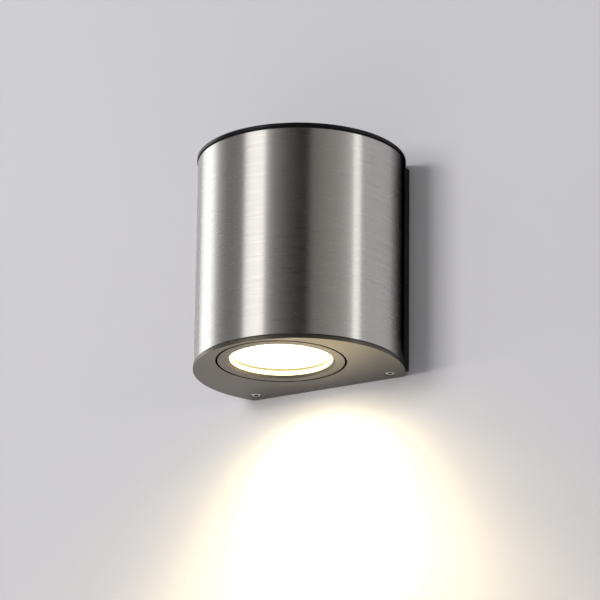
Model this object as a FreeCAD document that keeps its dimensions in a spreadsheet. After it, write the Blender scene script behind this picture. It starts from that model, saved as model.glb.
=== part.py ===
import FreeCAD, Part
import math
import os
import Sketcher

# Tube wall light with one lamp that shines down: a stainless sleeve, bent to part of a circle,
# stands between a cap and a bottom plate and closes against a black base on the wall.
# Millimetres. The origin is the middle of the wall screws on the wall plane, y = 0.
# +Z is up and the light stands out from the wall towards -Y.

doc = FreeCAD.newDocument("TubeWallLight")

driving = {
    # sleeve, cap and bottom plate
    "sleeve_radius": 57.5,
    "sleeve_wall": 1.0,
    "sleeve_height": 117.8,
    "centre_offset": 33.7,
    "rim_overhang": 0.5,
    "cap_rim": 2.2,
    "cap_edge": 0.4,
    "plate_rim": 2.0,
    "corner_round": 3.0,
    "seam": 0.7,
    "seam_recess": 0.5,
    "spigot_gap": 0.4,
    "spigot_wall": 2.0,
    "spigot_height": 3.0,
    "fit_gap": 0.1,
    # bezel and glass
    "bezel_radius": 34.65,
    "bezel_gap": 1.1,
    "front_land": 2.45,
    "bezel_flange": 1.5,
    "flange_gap": 0.3,
    "aperture_radius": 28.0,
    "bevel_depth": 1.3,
    "bevel_width": 1.5,
    "glass_level": 5.2,
    "glass_thick": 3.0,
    "glass_lap": 0.9,
    "gasket_thick": 1.4,
    "neck_wall": 2.2,
    "neck_rise": 2.8,
    "neck_gap": 0.5,
    "ring_section": 0.75,
    "ring_proud": 0.2,
    "ring_level": 1.2,
    "retainer_thick": 1.0,
    "retainer_width": 1.9,
    "retainer_bite": 0.5,
    "retainer_opening": 12.0,
    "collar_wall": 2.2,
    "collar_height": 12.0,
    "floor_thick": 2.5,
    "floor_land": 2.0,
    # wall base
    "base_depth": 5.3,
    "base_web": 2.0,
    "base_border": 5.0,
    "seal_width": 2.0,
    "seal_depth": 1.5,
    "wall_screw_spacing": 64.0,
    "wall_screw_hole": 2.3,
    "wall_boss": 5.5,
    "entry_hole": 9.0,
    "entry_bore": 4.0,
    "grommet_lip": 2.0,
    "grommet_rear_lip": 1.5,
    "lug_radius": 4.5,
    "lug_height": 12.0,
    "hook_place": 18.0,
    "hook_width": 12.0,
    "hook_thick": 2.0,
    "hook_lip": 4.3,
    "hook_gap": 0.5,
    "rib_drop": 7.5,
    "rib_width": 50.0,
    # screws
    "thread_radius": 1.5,
    "thread_gap": 0.05,
    "pass_gap": 0.2,
    "tap_run": 0.5,
    "pan_radius": 2.8,
    "pan_height": 1.9,
    "pan_slot": 0.8,
    "boss_wall": 2.4,
    "cap_head_radius": 2.75,
    "cap_head_height": 3.0,
    "cap_head_sink": 0.25,
    "cap_head_gap": 0.4,
    "head_boss_wall": 1.0,
    "socket_flats": 2.5,
    "socket_depth": 1.6,
    "housing_screw_inset": 7.8,
    "housing_screw_y": 7.2,
    "housing_screw_reach": 10.0,
    # side brackets
    "bracket_inset": 10.0,
    "bracket_y": 24.0,
    "bracket_width": 12.0,
    "bracket_steel": 1.5,
    "bracket_tab": 13.5,
    "bracket_screw_reach": 8.1,
    "bracket_boss_height": 4.0,
    # lamp
    "lamp_radius": 25.0,
    "lamp_rim": 3.0,
    "lamp_gap": 4.0,
    "lamp_cone": 25.0,
    "lamp_neck_radius": 14.0,
    "lamp_shell": 1.5,
    "lamp_lens_thick": 1.5,
    "lamp_base_radius": 12.5,
    "lamp_base_height": 17.5,
    "pin_circle": 5.0,
    "pin_neck": 1.6,
    "pin_head": 2.45,
    "pin_head_height": 4.4,
    "pin_gap": 0.35,
    # lamp holder and its bridge
    "holder_length": 30.0,
    "holder_width": 18.0,
    "holder_height": 17.2,
    "holder_lip": 2.0,
    "holder_gap": 0.3,
    "twist": 20.0,
    "contact_thick": 0.5,
    "bridge_leg_x": 30.0,
    "bridge_steel": 1.2,
    "bridge_width": 16.0,
    "bridge_foot": 11.0,
    "bridge_screw_x": 37.0,
    "bridge_screw_length": 9.0,
    "holder_screw_x": 11.0,
    "holder_screw_length": 8.0,
    "lead_hole": 5.5,
    # terminal block and leads
    "block_length": 32.0,
    "block_depth": 15.0,
    "block_height": 18.0,
    "block_drop": 30.5,
    "pole_pitch": 10.0,
    "clamp_radius": 2.6,
    "clamp_bore": 1.5,
    "clamp_length": 14.0,
    "clamp_gap": 0.1,
    "pole_screw_radius": 1.3,
    "pole_screw_space": 8.0,
    "pole_screw_stand": 1.0,
    "pole_head_radius": 1.9,
    "pole_head_height": 1.4,
    "pole_slot": 0.6,
    "pole_well": 2.2,
    "lead_radius": 1.1,
    "lead_spread": 3.5,
    "lamp_lead_out": 5.0,
    "lamp_lead_front": 8.0,
    "lamp_lead_back": 10.0,
    "lamp_lead_arch": 12.5,
    "lamp_lead_shoulder": 10.0,
    "lamp_lead_fall": 4.0,
    "earth_lead_out": 3.0,
    "earth_lead_front": 1.5,
    "earth_lead_arch": 10.5,
    "earth_lead_shoulder": 9.5,
    "earth_lead_fall": 1.5,
    "earth_inset": 19.0,
    "earth_drop": 9.0,
    "earth_thread": 2.0,
    "earth_head_radius": 3.8,
    "earth_head_height": 2.4,
    "tag_radius": 4.2,
    "tag_thick": 0.8,
    "tag_tongue": 3.6,
    "tag_reach": 8.0,
    "tag_barrel_radius": 1.75,
    "tag_barrel_length": 7.0,
    "tag_crimp": 3.0,
    "lead_entry": 1.0,
}


class Size:
    """A length with its value and the spreadsheet expression that gives it."""

    def __init__(self, value, text):
        self.value = value
        self.text = text

    def __add__(self, other):
        other = as_size(other)
        return Size(self.value + other.value, "(%s + %s)" % (self.text, other.text))

    def __sub__(self, other):
        other = as_size(other)
        return Size(self.value - other.value, "(%s - %s)" % (self.text, other.text))

    def __mul__(self, other):
        other = as_size(other)
        return Size(self.value * other.value, "(%s * %s)" % (self.text, other.text))

    def __truediv__(self, other):
        other = as_size(other)
        return Size(self.value / other.value, "(%s / %s)" % (self.text, other.text))

    def __neg__(self):
        return Size(-self.value, "(0 - %s)" % self.text)


def as_size(number):
    if isinstance(number, Size):
        return number
    return Size(float(number), repr(float(number)))


def root_of(square):
    return Size(math.sqrt(square.value), "sqrt(%s)" % square.text)


def fill_sheet():
    sheet = doc.addObject("Spreadsheet::Sheet", "Sizes")
    named = {}
    for row, (alias, number) in enumerate(driving.items(), start=1):
        sheet.set("A%d" % row, alias)
        sheet.set("B%d" % row, str(number))
        sheet.setAlias("B%d" % row, alias)
        named[alias] = Size(float(number), "Sizes." + alias)
    return named


d = fill_sheet()
doc.recompute()

zero = as_size(0.0)
past = as_size(1.0)  # how far a cutting tool runs past what it cuts
sunk = as_size(0.5)  # how far a pad starts inside what it joins
arc_share = 0.45  # share of the shorter run that a lead's bend takes

# heights, from the bottom plate's lower face up
total_height = d["plate_rim"] + d["seam"] + d["sleeve_height"] + d["seam"] + d["cap_rim"]
bottom = -(total_height / 2)
plate_top = bottom + d["plate_rim"]
sleeve_bottom = plate_top + d["seam"]
sleeve_top = sleeve_bottom + d["sleeve_height"]
cap_bottom = sleeve_top + d["seam"]
collar_top = plate_top + d["collar_height"]
lug_bottom = plate_top + d["spigot_height"]
block_level = cap_bottom - d["block_drop"]
earth_level = block_level - d["earth_drop"]

# plan sizes
rim_radius = d["sleeve_radius"] + d["rim_overhang"]
inner_radius = d["sleeve_radius"] - d["sleeve_wall"]
spigot_radius = inner_radius - d["spigot_gap"]
centre_y = -d["centre_offset"]
base_front = -d["base_depth"]
base_reach = d["centre_offset"] - d["base_depth"]
base_half = root_of(d["sleeve_radius"] * d["sleeve_radius"] - base_reach * base_reach)
earth_x = base_half - d["earth_inset"]
spigot_rear = base_front - d["spigot_gap"]
pocket_radius = d["bezel_radius"] + d["bezel_gap"]
lamp_y = -(d["centre_offset"] + rim_radius - d["front_land"] - pocket_radius)

# bezel, from its lower face up
pocket_depth = d["bezel_flange"] + d["flange_gap"]
glass_radius = d["aperture_radius"] + d["glass_lap"]
neck_bore = glass_radius + d["fit_gap"]
neck_radius = neck_bore + d["neck_wall"]
glass_top = d["glass_level"] + d["glass_thick"]
neck_top = glass_top + d["neck_rise"]
collar_bore = neck_radius + d["neck_gap"]
collar_radius = collar_bore + d["collar_wall"]

# lamp, from its front face up
lamp_front = bottom + neck_top + d["lamp_gap"]
lamp_neck = lamp_front + d["lamp_rim"] + d["lamp_cone"]
lamp_top = lamp_neck + d["lamp_base_height"]
holder_bottom = lamp_top + d["holder_gap"]
holder_top = holder_bottom + d["holder_height"]
pin_head_bottom = holder_bottom + d["holder_lip"] + d["pin_gap"]
pin_top = pin_head_bottom + d["pin_head_height"]
contact_bottom = pin_top + d["pin_gap"]

# screws
tapped_radius = d["thread_radius"] + d["thread_gap"]
pass_radius = d["thread_radius"] + d["pass_gap"]
boss_radius = d["thread_radius"] + d["boss_wall"]
housing_screw_y = -d["housing_screw_y"]
housing_screw_x = base_half - d["housing_screw_inset"]
bracket_x = inner_radius - d["bracket_inset"]
bracket_y = -d["bracket_y"]
bracket_screw_x = bracket_x - d["bracket_screw_reach"]
head_hole = d["cap_head_radius"] + d["cap_head_gap"]
head_boss = head_hole + d["head_boss_wall"]
left = -1
right = 1
housing_screw_places = [(housing_screw_x * side, housing_screw_y) for side in (left, right)]
forward = ((1, 0, 0), 90)
upside_down = ((1, 0, 0), 180)


def bind(item, path, size):
    item.setExpression(path, as_size(size).text)


def place(item, x=zero, y=zero, z=zero, turn=None):
    """Put an object at x, y, z; turn is an axis and an angle in degrees."""
    base = FreeCAD.Vector(as_size(x).value, as_size(y).value, as_size(z).value)
    rotation = FreeCAD.Rotation()
    if turn:
        rotation = FreeCAD.Rotation(FreeCAD.Vector(*turn[0]), turn[1])
    item.Placement = FreeCAD.Placement(base, rotation)
    bind(item, "Placement.Base.x", x)
    bind(item, "Placement.Base.y", y)
    bind(item, "Placement.Base.z", z)


parts = []


def sub_part(item, name):
    item.Label = name
    parts.append(item)
    return item


def new_body(name):
    return sub_part(doc.addObject("PartDesign::Body", name), name)


def sketch_on(body, role, offset=zero):
    """A sketch on one of the body's own origin planes, moved along the plane's normal."""
    plane = [item for item in body.Origin.OriginFeatures if item.Role == role][0]
    sketch = body.newObject("Sketcher::SketchObject", "Sketch")
    sketch.AttachmentSupport = [(plane, "")]
    sketch.MapMode = "FlatFace"
    bind(sketch, "AttachmentOffset.Base.z", offset)
    return sketch


def rule(sketch, *content):
    return sketch.addConstraint(Sketcher.Constraint(*content))


def measure(sketch, kind, where, size):
    """A dimension that follows the spreadsheet."""
    size = as_size(size)
    index = rule(sketch, kind, *where, size.value)
    bind(sketch, "Constraints[%d]" % index, size)


def pin_point(sketch, item, end, x, y):
    measure(sketch, "DistanceX", (-1, 1, item, end), x)
    measure(sketch, "DistanceY", (-1, 1, item, end), y)


def point(x, y):
    return FreeCAD.Vector(as_size(x).value, as_size(y).value, 0)


def draw_circle(sketch, x, y, radius):
    up = FreeCAD.Vector(0, 0, 1)
    item = sketch.addGeometry(Part.Circle(point(x, y), up, as_size(radius).value), False)
    measure(sketch, "Radius", (item,), radius)
    pin_point(sketch, item, 3, x, y)


def draw_outline(sketch, corners):
    """A closed outline of straight lines through the corners."""
    first = sketch.GeometryCount
    count = len(corners)
    for index in range(count):
        start = point(*corners[index])
        end = point(*corners[(index + 1) % count])
        sketch.addGeometry(Part.LineSegment(start, end), False)
    for index in range(count):
        rule(sketch, "Coincident", first + index, 2, first + (index + 1) % count, 1)
        pin_point(sketch, first + index, 1, *corners[index])


def draw_rectangle(sketch, x_low, x_high, y_low, y_high):
    draw_outline(sketch, [(x_low, y_low), (x_high, y_low), (x_high, y_high), (x_low, y_high)])


def arc_ends(radius, rear):
    """Angles where a circle about the sleeve's centre meets the line y = rear."""
    rise = math.asin((rear.value - centre_y.value) / radius.value)
    return math.pi - rise, 2 * math.pi + rise


def draw_sleeve_arc(sketch, radius, rear):
    """The front arc of a circle about the sleeve's centre, up to the line y = rear."""
    start, end = arc_ends(radius, rear)
    circle = Part.Circle(point(0, centre_y), FreeCAD.Vector(0, 0, 1), radius.value)
    item = sketch.addGeometry(Part.ArcOfCircle(circle, start, end), False)
    measure(sketch, "Radius", (item,), radius)
    pin_point(sketch, item, 3, zero, centre_y)
    measure(sketch, "DistanceY", (-1, 1, item, 1), rear)
    measure(sketch, "DistanceY", (-1, 1, item, 2), rear)
    return item


def join_ends(sketch, first, first_end, second, second_end):
    start = sketch.getPoint(first, first_end)
    end = sketch.getPoint(second, second_end)
    line = sketch.addGeometry(Part.LineSegment(start, end), False)
    rule(sketch, "Coincident", line, 1, first, first_end)
    rule(sketch, "Coincident", line, 2, second, second_end)


def draw_plan(sketch, radius, rear):
    """The light's plan: a circle cut by the line y = rear."""
    arc = draw_sleeve_arc(sketch, radius, rear)
    join_ends(sketch, arc, 2, arc, 1)


def pad(body, sketch, length, down=False, both=False):
    feature = body.newObject("PartDesign::Pad", "Pad")
    feature.Profile = sketch
    feature.Length = as_size(length).value
    bind(feature, "Length", length)
    feature.Reversed = down
    feature.Midplane = both
    doc.recompute()
    return feature


def pocket(body, sketch, length, ahead=False):
    """Cut against the sketch's normal, or along it where ahead is set."""
    before = body.Shape.Volume
    feature = body.newObject("PartDesign::Pocket", "Pocket")
    feature.Profile = sketch
    feature.Length = as_size(length).value
    bind(feature, "Length", length)
    feature.Reversed = ahead
    doc.recompute()
    if not body.Shape.Volume < before - 0.01:
        raise ValueError("a pocket in %s cut nothing" % body.Label)
    return feature


def revolve(body, sketch, role="Z_Axis"):
    feature = body.newObject("PartDesign::Revolution", "Revolution")
    feature.Profile = sketch
    axis = [item for item in body.Origin.OriginFeatures if item.Role == role][0]
    feature.ReferenceAxis = (axis, [""])
    feature.Angle = 360
    doc.recompute()
    return feature


def holes(body, places, radius, depth, level, ahead=False):
    """Round pockets along Z at the given plan places, from the given level."""
    sketch = sketch_on(body, "XY_Plane", level)
    for x, y in places:
        draw_circle(sketch, x, y, radius)
    pocket(body, sketch, depth, ahead)


def bosses(body, places, radius, height, level, down=False):
    sketch = sketch_on(body, "XY_Plane", level)
    for x, y in places:
        draw_circle(sketch, x, y, radius)
    pad(body, sketch, height, down)


def both_sides(x, y):
    return [(x * left, y), (x * right, y)]


def upright_edges(body, y_low):
    """Names of the upright edges of the body's tip that lie behind y_low."""
    names = []
    for index, edge in enumerate(body.Shape.Edges, start=1):
        box = edge.BoundBox
        upright = box.ZLength > 0.5 and box.XLength < 0.01 and box.YLength < 0.01
        if upright and box.YMin > y_low:
            names.append("Edge%d" % index)
    return names


def round_corners(body, base):
    names = upright_edges(body, -1.0)
    feature = body.newObject("PartDesign::Fillet", "Corners")
    feature.Base = (base, names)
    feature.Radius = d["corner_round"].value
    bind(feature, "Radius", d["corner_round"])
    doc.recompute()
    return feature


def soften_top(body, base, level):
    """Chamfer round the flat face at the given level."""
    names = ["Face%d" % index for index, face in enumerate(body.Shape.Faces, start=1)
             if face.BoundBox.ZMin > level.value - 0.01]
    feature = body.newObject("PartDesign::Chamfer", "TopEdge")
    feature.Base = (base, names)
    feature.Size = d["cap_edge"].value
    bind(feature, "Size", d["cap_edge"])
    doc.recompute()


def make_sleeve():
    body = new_body("sleeve")
    sketch = sketch_on(body, "XY_Plane")
    outer = draw_sleeve_arc(sketch, d["sleeve_radius"], base_front)
    inner = draw_sleeve_arc(sketch, inner_radius, base_front)
    join_ends(sketch, outer, 1, inner, 1)
    join_ends(sketch, outer, 2, inner, 2)
    pad(body, sketch, d["sleeve_height"])
    place(body, z=sleeve_bottom)


def make_seam_gasket(name, level, clear_places=()):
    """The flat black seal between the sleeve's end and a rim; it fills the gap round the spigot."""
    body = new_body(name)
    sketch = sketch_on(body, "XY_Plane")
    draw_plan(sketch, d["sleeve_radius"] - d["seam_recess"], -d["seam_recess"])
    draw_plan(sketch, spigot_radius + d["fit_gap"], spigot_rear + d["fit_gap"])
    pad(body, sketch, d["seam"])
    if clear_places:
        holes(body, clear_places, head_boss + d["spigot_gap"], d["seam"] + past, zero, True)
    place(body, z=level)


def add_spigot(body, level, down):
    sketch = sketch_on(body, "XY_Plane", level)
    draw_plan(sketch, spigot_radius, spigot_rear)
    draw_plan(sketch, spigot_radius - d["spigot_wall"], spigot_rear - d["spigot_wall"])
    pad(body, sketch, d["spigot_height"], down)


def make_top_cap():
    body = new_body("top_cap")
    sketch = sketch_on(body, "XY_Plane")
    draw_plan(sketch, rim_radius, zero)
    rim = pad(body, sketch, d["cap_rim"])
    rounded = round_corners(body, rim)
    soften_top(body, rounded, d["cap_rim"])
    add_spigot(body, zero, True)
    rib = sketch_on(body, "XY_Plane")
    half = d["rib_width"] / 2
    draw_rectangle(rib, -half, half, spigot_rear - d["spigot_wall"], spigot_rear)
    pad(body, rib, d["rib_drop"], True)
    places = both_sides(bracket_screw_x, bracket_y)
    bosses(body, places, boss_radius, d["bracket_boss_height"], zero, True)
    depth = d["bracket_boss_height"] + d["tap_run"]
    holes(body, places, tapped_radius, depth, -d["bracket_boss_height"], True)
    place(body, z=cap_bottom)


def make_bottom_plate():
    body = new_body("bottom_plate")
    sketch = sketch_on(body, "XY_Plane")
    draw_plan(sketch, rim_radius, zero)
    rim = pad(body, sketch, d["plate_rim"])
    round_corners(body, rim)
    add_spigot(body, d["plate_rim"], False)
    lamp = [(zero, lamp_y)]
    bosses(body, lamp, pocket_radius + d["floor_land"], d["floor_thick"], d["plate_rim"])
    bosses(body, lamp, collar_radius, d["collar_height"], d["plate_rim"])
    bridge_places = both_sides(d["bridge_screw_x"], lamp_y)
    bosses(body, bridge_places, boss_radius, d["collar_height"], d["plate_rim"])
    # what stands on the plate stays inside the sleeve
    trim = sketch_on(body, "XY_Plane", d["plate_rim"])
    draw_circle(trim, zero, centre_y, rim_radius + past)
    draw_plan(trim, spigot_radius, spigot_rear)
    pocket(body, trim, d["collar_height"] + past, True)
    holes(body, lamp, pocket_radius, pocket_depth, zero, True)
    holes(body, lamp, collar_bore, d["plate_rim"] + d["collar_height"] + past, zero, True)
    bridge_hole = d["bridge_screw_length"] - d["bridge_steel"] + d["tap_run"]
    holes(body, bridge_places, tapped_radius, bridge_hole, d["plate_rim"] + d["collar_height"])
    bracket_places = both_sides(bracket_screw_x, bracket_y)
    boss_top = d["plate_rim"] + d["bracket_boss_height"]
    bosses(body, bracket_places, boss_radius, d["bracket_boss_height"], d["plate_rim"])
    holes(body, bracket_places, tapped_radius, d["bracket_boss_height"] + d["tap_run"], boss_top)
    bosses(body, housing_screw_places, head_boss, d["spigot_height"], d["plate_rim"])
    holes(body, housing_screw_places, head_hole, d["cap_head_sink"] + d["cap_head_height"], zero, True)
    holes(body, housing_screw_places, pass_radius, d["plate_rim"] + d["spigot_height"] + past, zero, True)
    place(body, z=bottom)


def draw_border(sketch, inset):
    """A rectangle inside the wall base's outline; in the wall plane."""
    draw_rectangle(sketch, inset - base_half, base_half - inset, sleeve_bottom + inset, sleeve_top - inset)


def wall_holes(body, places, radius, depth):
    """Round pockets into the base from the wall plane."""
    sketch = sketch_on(body, "XZ_Plane")
    for x, z in places:
        draw_circle(sketch, x, z, radius)
    pocket(body, sketch, depth, True)


def add_hooks(body):
    """Two hooks that the top cap's rib drops behind."""
    lip_back = spigot_rear - d["spigot_wall"] - d["hook_gap"]
    lip_front = lip_back - d["hook_thick"]
    floor = cap_bottom - d["rib_drop"] - d["hook_gap"]
    for side in (left, right):
        sketch = sketch_on(body, "YZ_Plane", d["hook_place"] * side)
        draw_outline(sketch, [
            (base_front + sunk, floor - d["hook_thick"]),
            (lip_front, floor - d["hook_thick"]),
            (lip_front, floor + d["hook_lip"]),
            (lip_back, floor + d["hook_lip"]),
            (lip_back, floor),
            (base_front + sunk, floor),
        ])
        pad(body, sketch, d["hook_width"], both=True)


def make_wall_base():
    body = new_body("wall_base")
    sketch = sketch_on(body, "XZ_Plane")
    draw_border(sketch, zero)
    pad(body, sketch, d["base_depth"])
    hollow = sketch_on(body, "XZ_Plane")
    draw_border(hollow, d["base_border"])
    pocket(body, hollow, d["base_depth"] - d["base_web"], True)
    groove = sketch_on(body, "XZ_Plane")
    draw_border(groove, (d["base_border"] - d["seal_width"]) / 2)
    draw_border(groove, (d["base_border"] + d["seal_width"]) / 2)
    pocket(body, groove, d["seal_depth"], True)
    wall_places = both_sides(d["wall_screw_spacing"] / 2, zero)
    boss = sketch_on(body, "XZ_Plane")
    for x, z in wall_places:
        draw_circle(boss, x, z, d["wall_boss"])
    pad(body, boss, d["base_depth"])
    bosses(body, housing_screw_places, d["lug_radius"], d["lug_height"], lug_bottom)
    holes(body, housing_screw_places, head_boss + d["spigot_gap"], d["spigot_height"], lug_bottom)
    depth = d["housing_screw_reach"] + d["tap_run"]
    holes(body, housing_screw_places, tapped_radius, depth, lug_bottom, True)
    add_hooks(body)
    through = d["base_depth"] + past
    wall_holes(body, wall_places, d["wall_screw_hole"], through)
    wall_holes(body, [(zero, zero)], d["entry_hole"], through)
    wall_holes(body, [(d["pole_pitch"] / 2, block_level)], tapped_radius, through)
    wall_holes(body, [(earth_x, earth_level)], d["earth_thread"] + d["thread_gap"], through)
    place(body)


def make_wall_seal():
    """Foam cord in the base's groove, flush with the wall plane."""
    body = new_body("wall_seal")
    sketch = sketch_on(body, "XZ_Plane")
    draw_border(sketch, (d["base_border"] - d["seal_width"]) / 2 + d["fit_gap"])
    draw_border(sketch, (d["base_border"] + d["seal_width"]) / 2 - d["fit_gap"])
    pad(body, sketch, d["seal_depth"])
    place(body)


def make_grommet():
    """Rubber grommet for the supply cable, with a lip on each face of the base's web."""
    body = new_body("cable_grommet")
    sketch = sketch_on(body, "XY_Plane")
    web_rear = -(d["base_web"] + d["grommet_lip"])
    lip = d["entry_hole"] + d["grommet_lip"]
    waist = d["entry_hole"] - d["fit_gap"]
    draw_outline(sketch, [
        (d["entry_bore"], zero),
        (lip, zero),
        (lip, -d["grommet_lip"]),
        (waist, -d["grommet_lip"]),
        (waist, web_rear),
        (lip, web_rear),
        (lip, web_rear - d["grommet_rear_lip"]),
        (d["entry_bore"], web_rear - d["grommet_rear_lip"]),
    ])
    revolve(body, sketch, "Y_Axis")
    # the profile's first face looks away from the wall
    place(body, y=base_front - d["grommet_lip"], turn=((0, 0, 1), 180))


def make_bezel():
    """The ring that shows round the glass, with a neck that pushes up into the plate's collar."""
    body = new_body("bezel_ring")
    sketch = sketch_on(body, "XZ_Plane")
    seat = d["glass_level"] - d["gasket_thick"]
    groove_low = pocket_depth + d["ring_level"]
    groove_high = groove_low + d["ring_section"] * 2 + d["fit_gap"]
    groove_bottom = neck_radius - d["ring_section"] * 2 + d["ring_proud"]
    clip_low = glass_top + d["fit_gap"]
    clip_high = clip_low + d["retainer_thick"] + d["fit_gap"]
    draw_outline(sketch, [
        (d["aperture_radius"] + d["bevel_width"], zero),
        (d["bezel_radius"], zero),
        (d["bezel_radius"], d["bezel_flange"]),
        (neck_radius, d["bezel_flange"]),
        (neck_radius, groove_low),
        (groove_bottom, groove_low),
        (groove_bottom, groove_high),
        (neck_radius, groove_high),
        (neck_radius, neck_top),
        (neck_bore, neck_top),
        (neck_bore, clip_high),
        (neck_bore + d["retainer_bite"], clip_high),
        (neck_bore + d["retainer_bite"], clip_low),
        (neck_bore, clip_low),
        (neck_bore, seat),
        (d["aperture_radius"], seat),
        (d["aperture_radius"], d["bevel_depth"]),
    ])
    revolve(body, sketch)
    place(body, y=lamp_y, z=bottom)
    ring = sub_part(doc.addObject("Part::Torus", "bezel_o_ring"), "bezel_o_ring")
    bind(ring, "Radius1", groove_bottom + d["ring_section"])
    bind(ring, "Radius2", d["ring_section"])
    place(ring, y=lamp_y, z=bottom + (groove_low + groove_high) / 2)
    make_retainer(bottom + clip_low + d["fit_gap"] / 2)


def make_retainer(level):
    """Sprung wire ring that holds the glass down, open at the back so that it can be squeezed."""
    body = new_body("glass_retainer")
    sketch = sketch_on(body, "XY_Plane")
    outer = neck_bore + d["retainer_bite"] - d["fit_gap"]
    draw_circle(sketch, zero, zero, outer)
    draw_circle(sketch, zero, zero, outer - d["retainer_width"])
    pad(body, sketch, d["retainer_thick"])
    gap = sketch_on(body, "XY_Plane")
    half = d["retainer_opening"] / 2
    draw_rectangle(gap, -half, half, zero, outer + past)
    pocket(body, gap, d["retainer_thick"] + past, True)
    place(body, y=lamp_y, z=level)


def make_glass():
    body = new_body("lens_glass")
    sketch = sketch_on(body, "XY_Plane")
    draw_circle(sketch, zero, zero, glass_radius)
    pad(body, sketch, d["glass_thick"])
    place(body, y=lamp_y, z=bottom + d["glass_level"])
    seal = new_body("lens_gasket")
    sketch = sketch_on(seal, "XY_Plane")
    draw_circle(sketch, zero, zero, glass_radius)
    draw_circle(sketch, zero, zero, d["aperture_radius"])
    pad(seal, sketch, d["gasket_thick"])
    place(seal, y=lamp_y, z=bottom + d["glass_level"] - d["gasket_thick"])


def revolve_about_lamp(name, corners, level):
    body = new_body(name)
    sketch = sketch_on(body, "XZ_Plane")
    draw_outline(sketch, corners)
    revolve(body, sketch)
    place(body, y=lamp_y, z=level)
    return body


def make_lamp():
    """Reflector lamp with two pins that lock by a twist."""
    rim_top = d["lamp_rim"]
    neck_level = d["lamp_rim"] + d["lamp_cone"]
    seat = d["lamp_radius"] - d["lamp_shell"]
    revolve_about_lamp("lamp_body", [
        (seat, zero),
        (d["lamp_radius"], zero),
        (d["lamp_radius"], rim_top),
        (d["lamp_neck_radius"], neck_level),
        (zero, neck_level),
        (zero, neck_level - d["lamp_shell"] * 2),
        (d["lamp_neck_radius"] - d["lamp_shell"] * 2, neck_level - d["lamp_shell"] * 2),
        (seat - d["lamp_shell"], rim_top),
        (seat - d["lamp_shell"], d["lamp_lens_thick"]),
        (seat, d["lamp_lens_thick"]),
    ], lamp_front)
    lens = new_body("lamp_lens")
    sketch = sketch_on(lens, "XY_Plane")
    draw_circle(sketch, zero, zero, seat)
    pad(lens, sketch, d["lamp_lens_thick"])
    place(lens, y=lamp_y, z=lamp_front)
    base = new_body("lamp_base")
    sketch = sketch_on(base, "XY_Plane")
    draw_circle(sketch, zero, zero, d["lamp_base_radius"])
    pad(base, sketch, d["lamp_base_height"])
    place(base, y=lamp_y, z=lamp_neck)
    pins = [lamp_pin(side) for side in (left, right)]
    group("lamp_pins", pins)


def cylinder(radius, height, x=zero, y=zero, z=zero, turn=None):
    item = doc.addObject("Part::Cylinder", "Cylinder")
    bind(item, "Radius", radius)
    bind(item, "Height", height)
    place(item, x, y, z, turn)
    return item


def box(x_low, x_high, y_low, y_high, z_low, z_high):
    item = doc.addObject("Part::Box", "Box")
    bind(item, "Length", as_size(x_high) - x_low)
    bind(item, "Width", as_size(y_high) - y_low)
    bind(item, "Height", as_size(z_high) - z_low)
    place(item, x_low, y_low, z_low)
    return item


def fuse(items):
    item = doc.addObject("Part::MultiFuse", "Fuse")
    item.Shapes = items
    return item


def cut(base, tool):
    item = doc.addObject("Part::Cut", "Cut")
    item.Base = base
    item.Tool = tool
    return item


def group(name, items):
    """Identical pieces that share one file, as separate solids."""
    item = doc.addObject("Part::Compound", name)
    item.Links = items
    return sub_part(item, name)


def lamp_pin(side):
    x = d["pin_circle"] * side
    neck = cylinder(d["pin_neck"], pin_head_bottom - lamp_top, x, lamp_y, lamp_top)
    head = cylinder(d["pin_head"], d["pin_head_height"], x, lamp_y, pin_head_bottom)
    return fuse([neck, head])


def kidney(half_width, z_low, z_high, start, end):
    """The space that a pin sweeps about the lamp's axis, from one angle to another, in degrees."""
    pieces = []
    height = z_high - z_low
    for side in (left, right):
        turn_from = start if side == right else start + 180
        outer = doc.addObject("Part::Cylinder", "Sweep")
        bind(outer, "Radius", d["pin_circle"] + half_width)
        bind(outer, "Height", height)
        bind(outer, "Angle", end - start)
        inner = cylinder(d["pin_circle"] - half_width, height + past * 2, zero, lamp_y, z_low - past)
        place(outer, zero, lamp_y, z_low, ((0, 0, 1), turn_from.value))
        pieces.append(cut(outer, inner))
        for angle in (start, end):
            radians = math.radians(angle.value)
            x = math.cos(radians) * side
            y = math.sin(radians) * side
            end_y = d["pin_circle"] * y + lamp_y
            pieces.append(cylinder(half_width, height, d["pin_circle"] * x, end_y, z_low))
    return pieces


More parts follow.
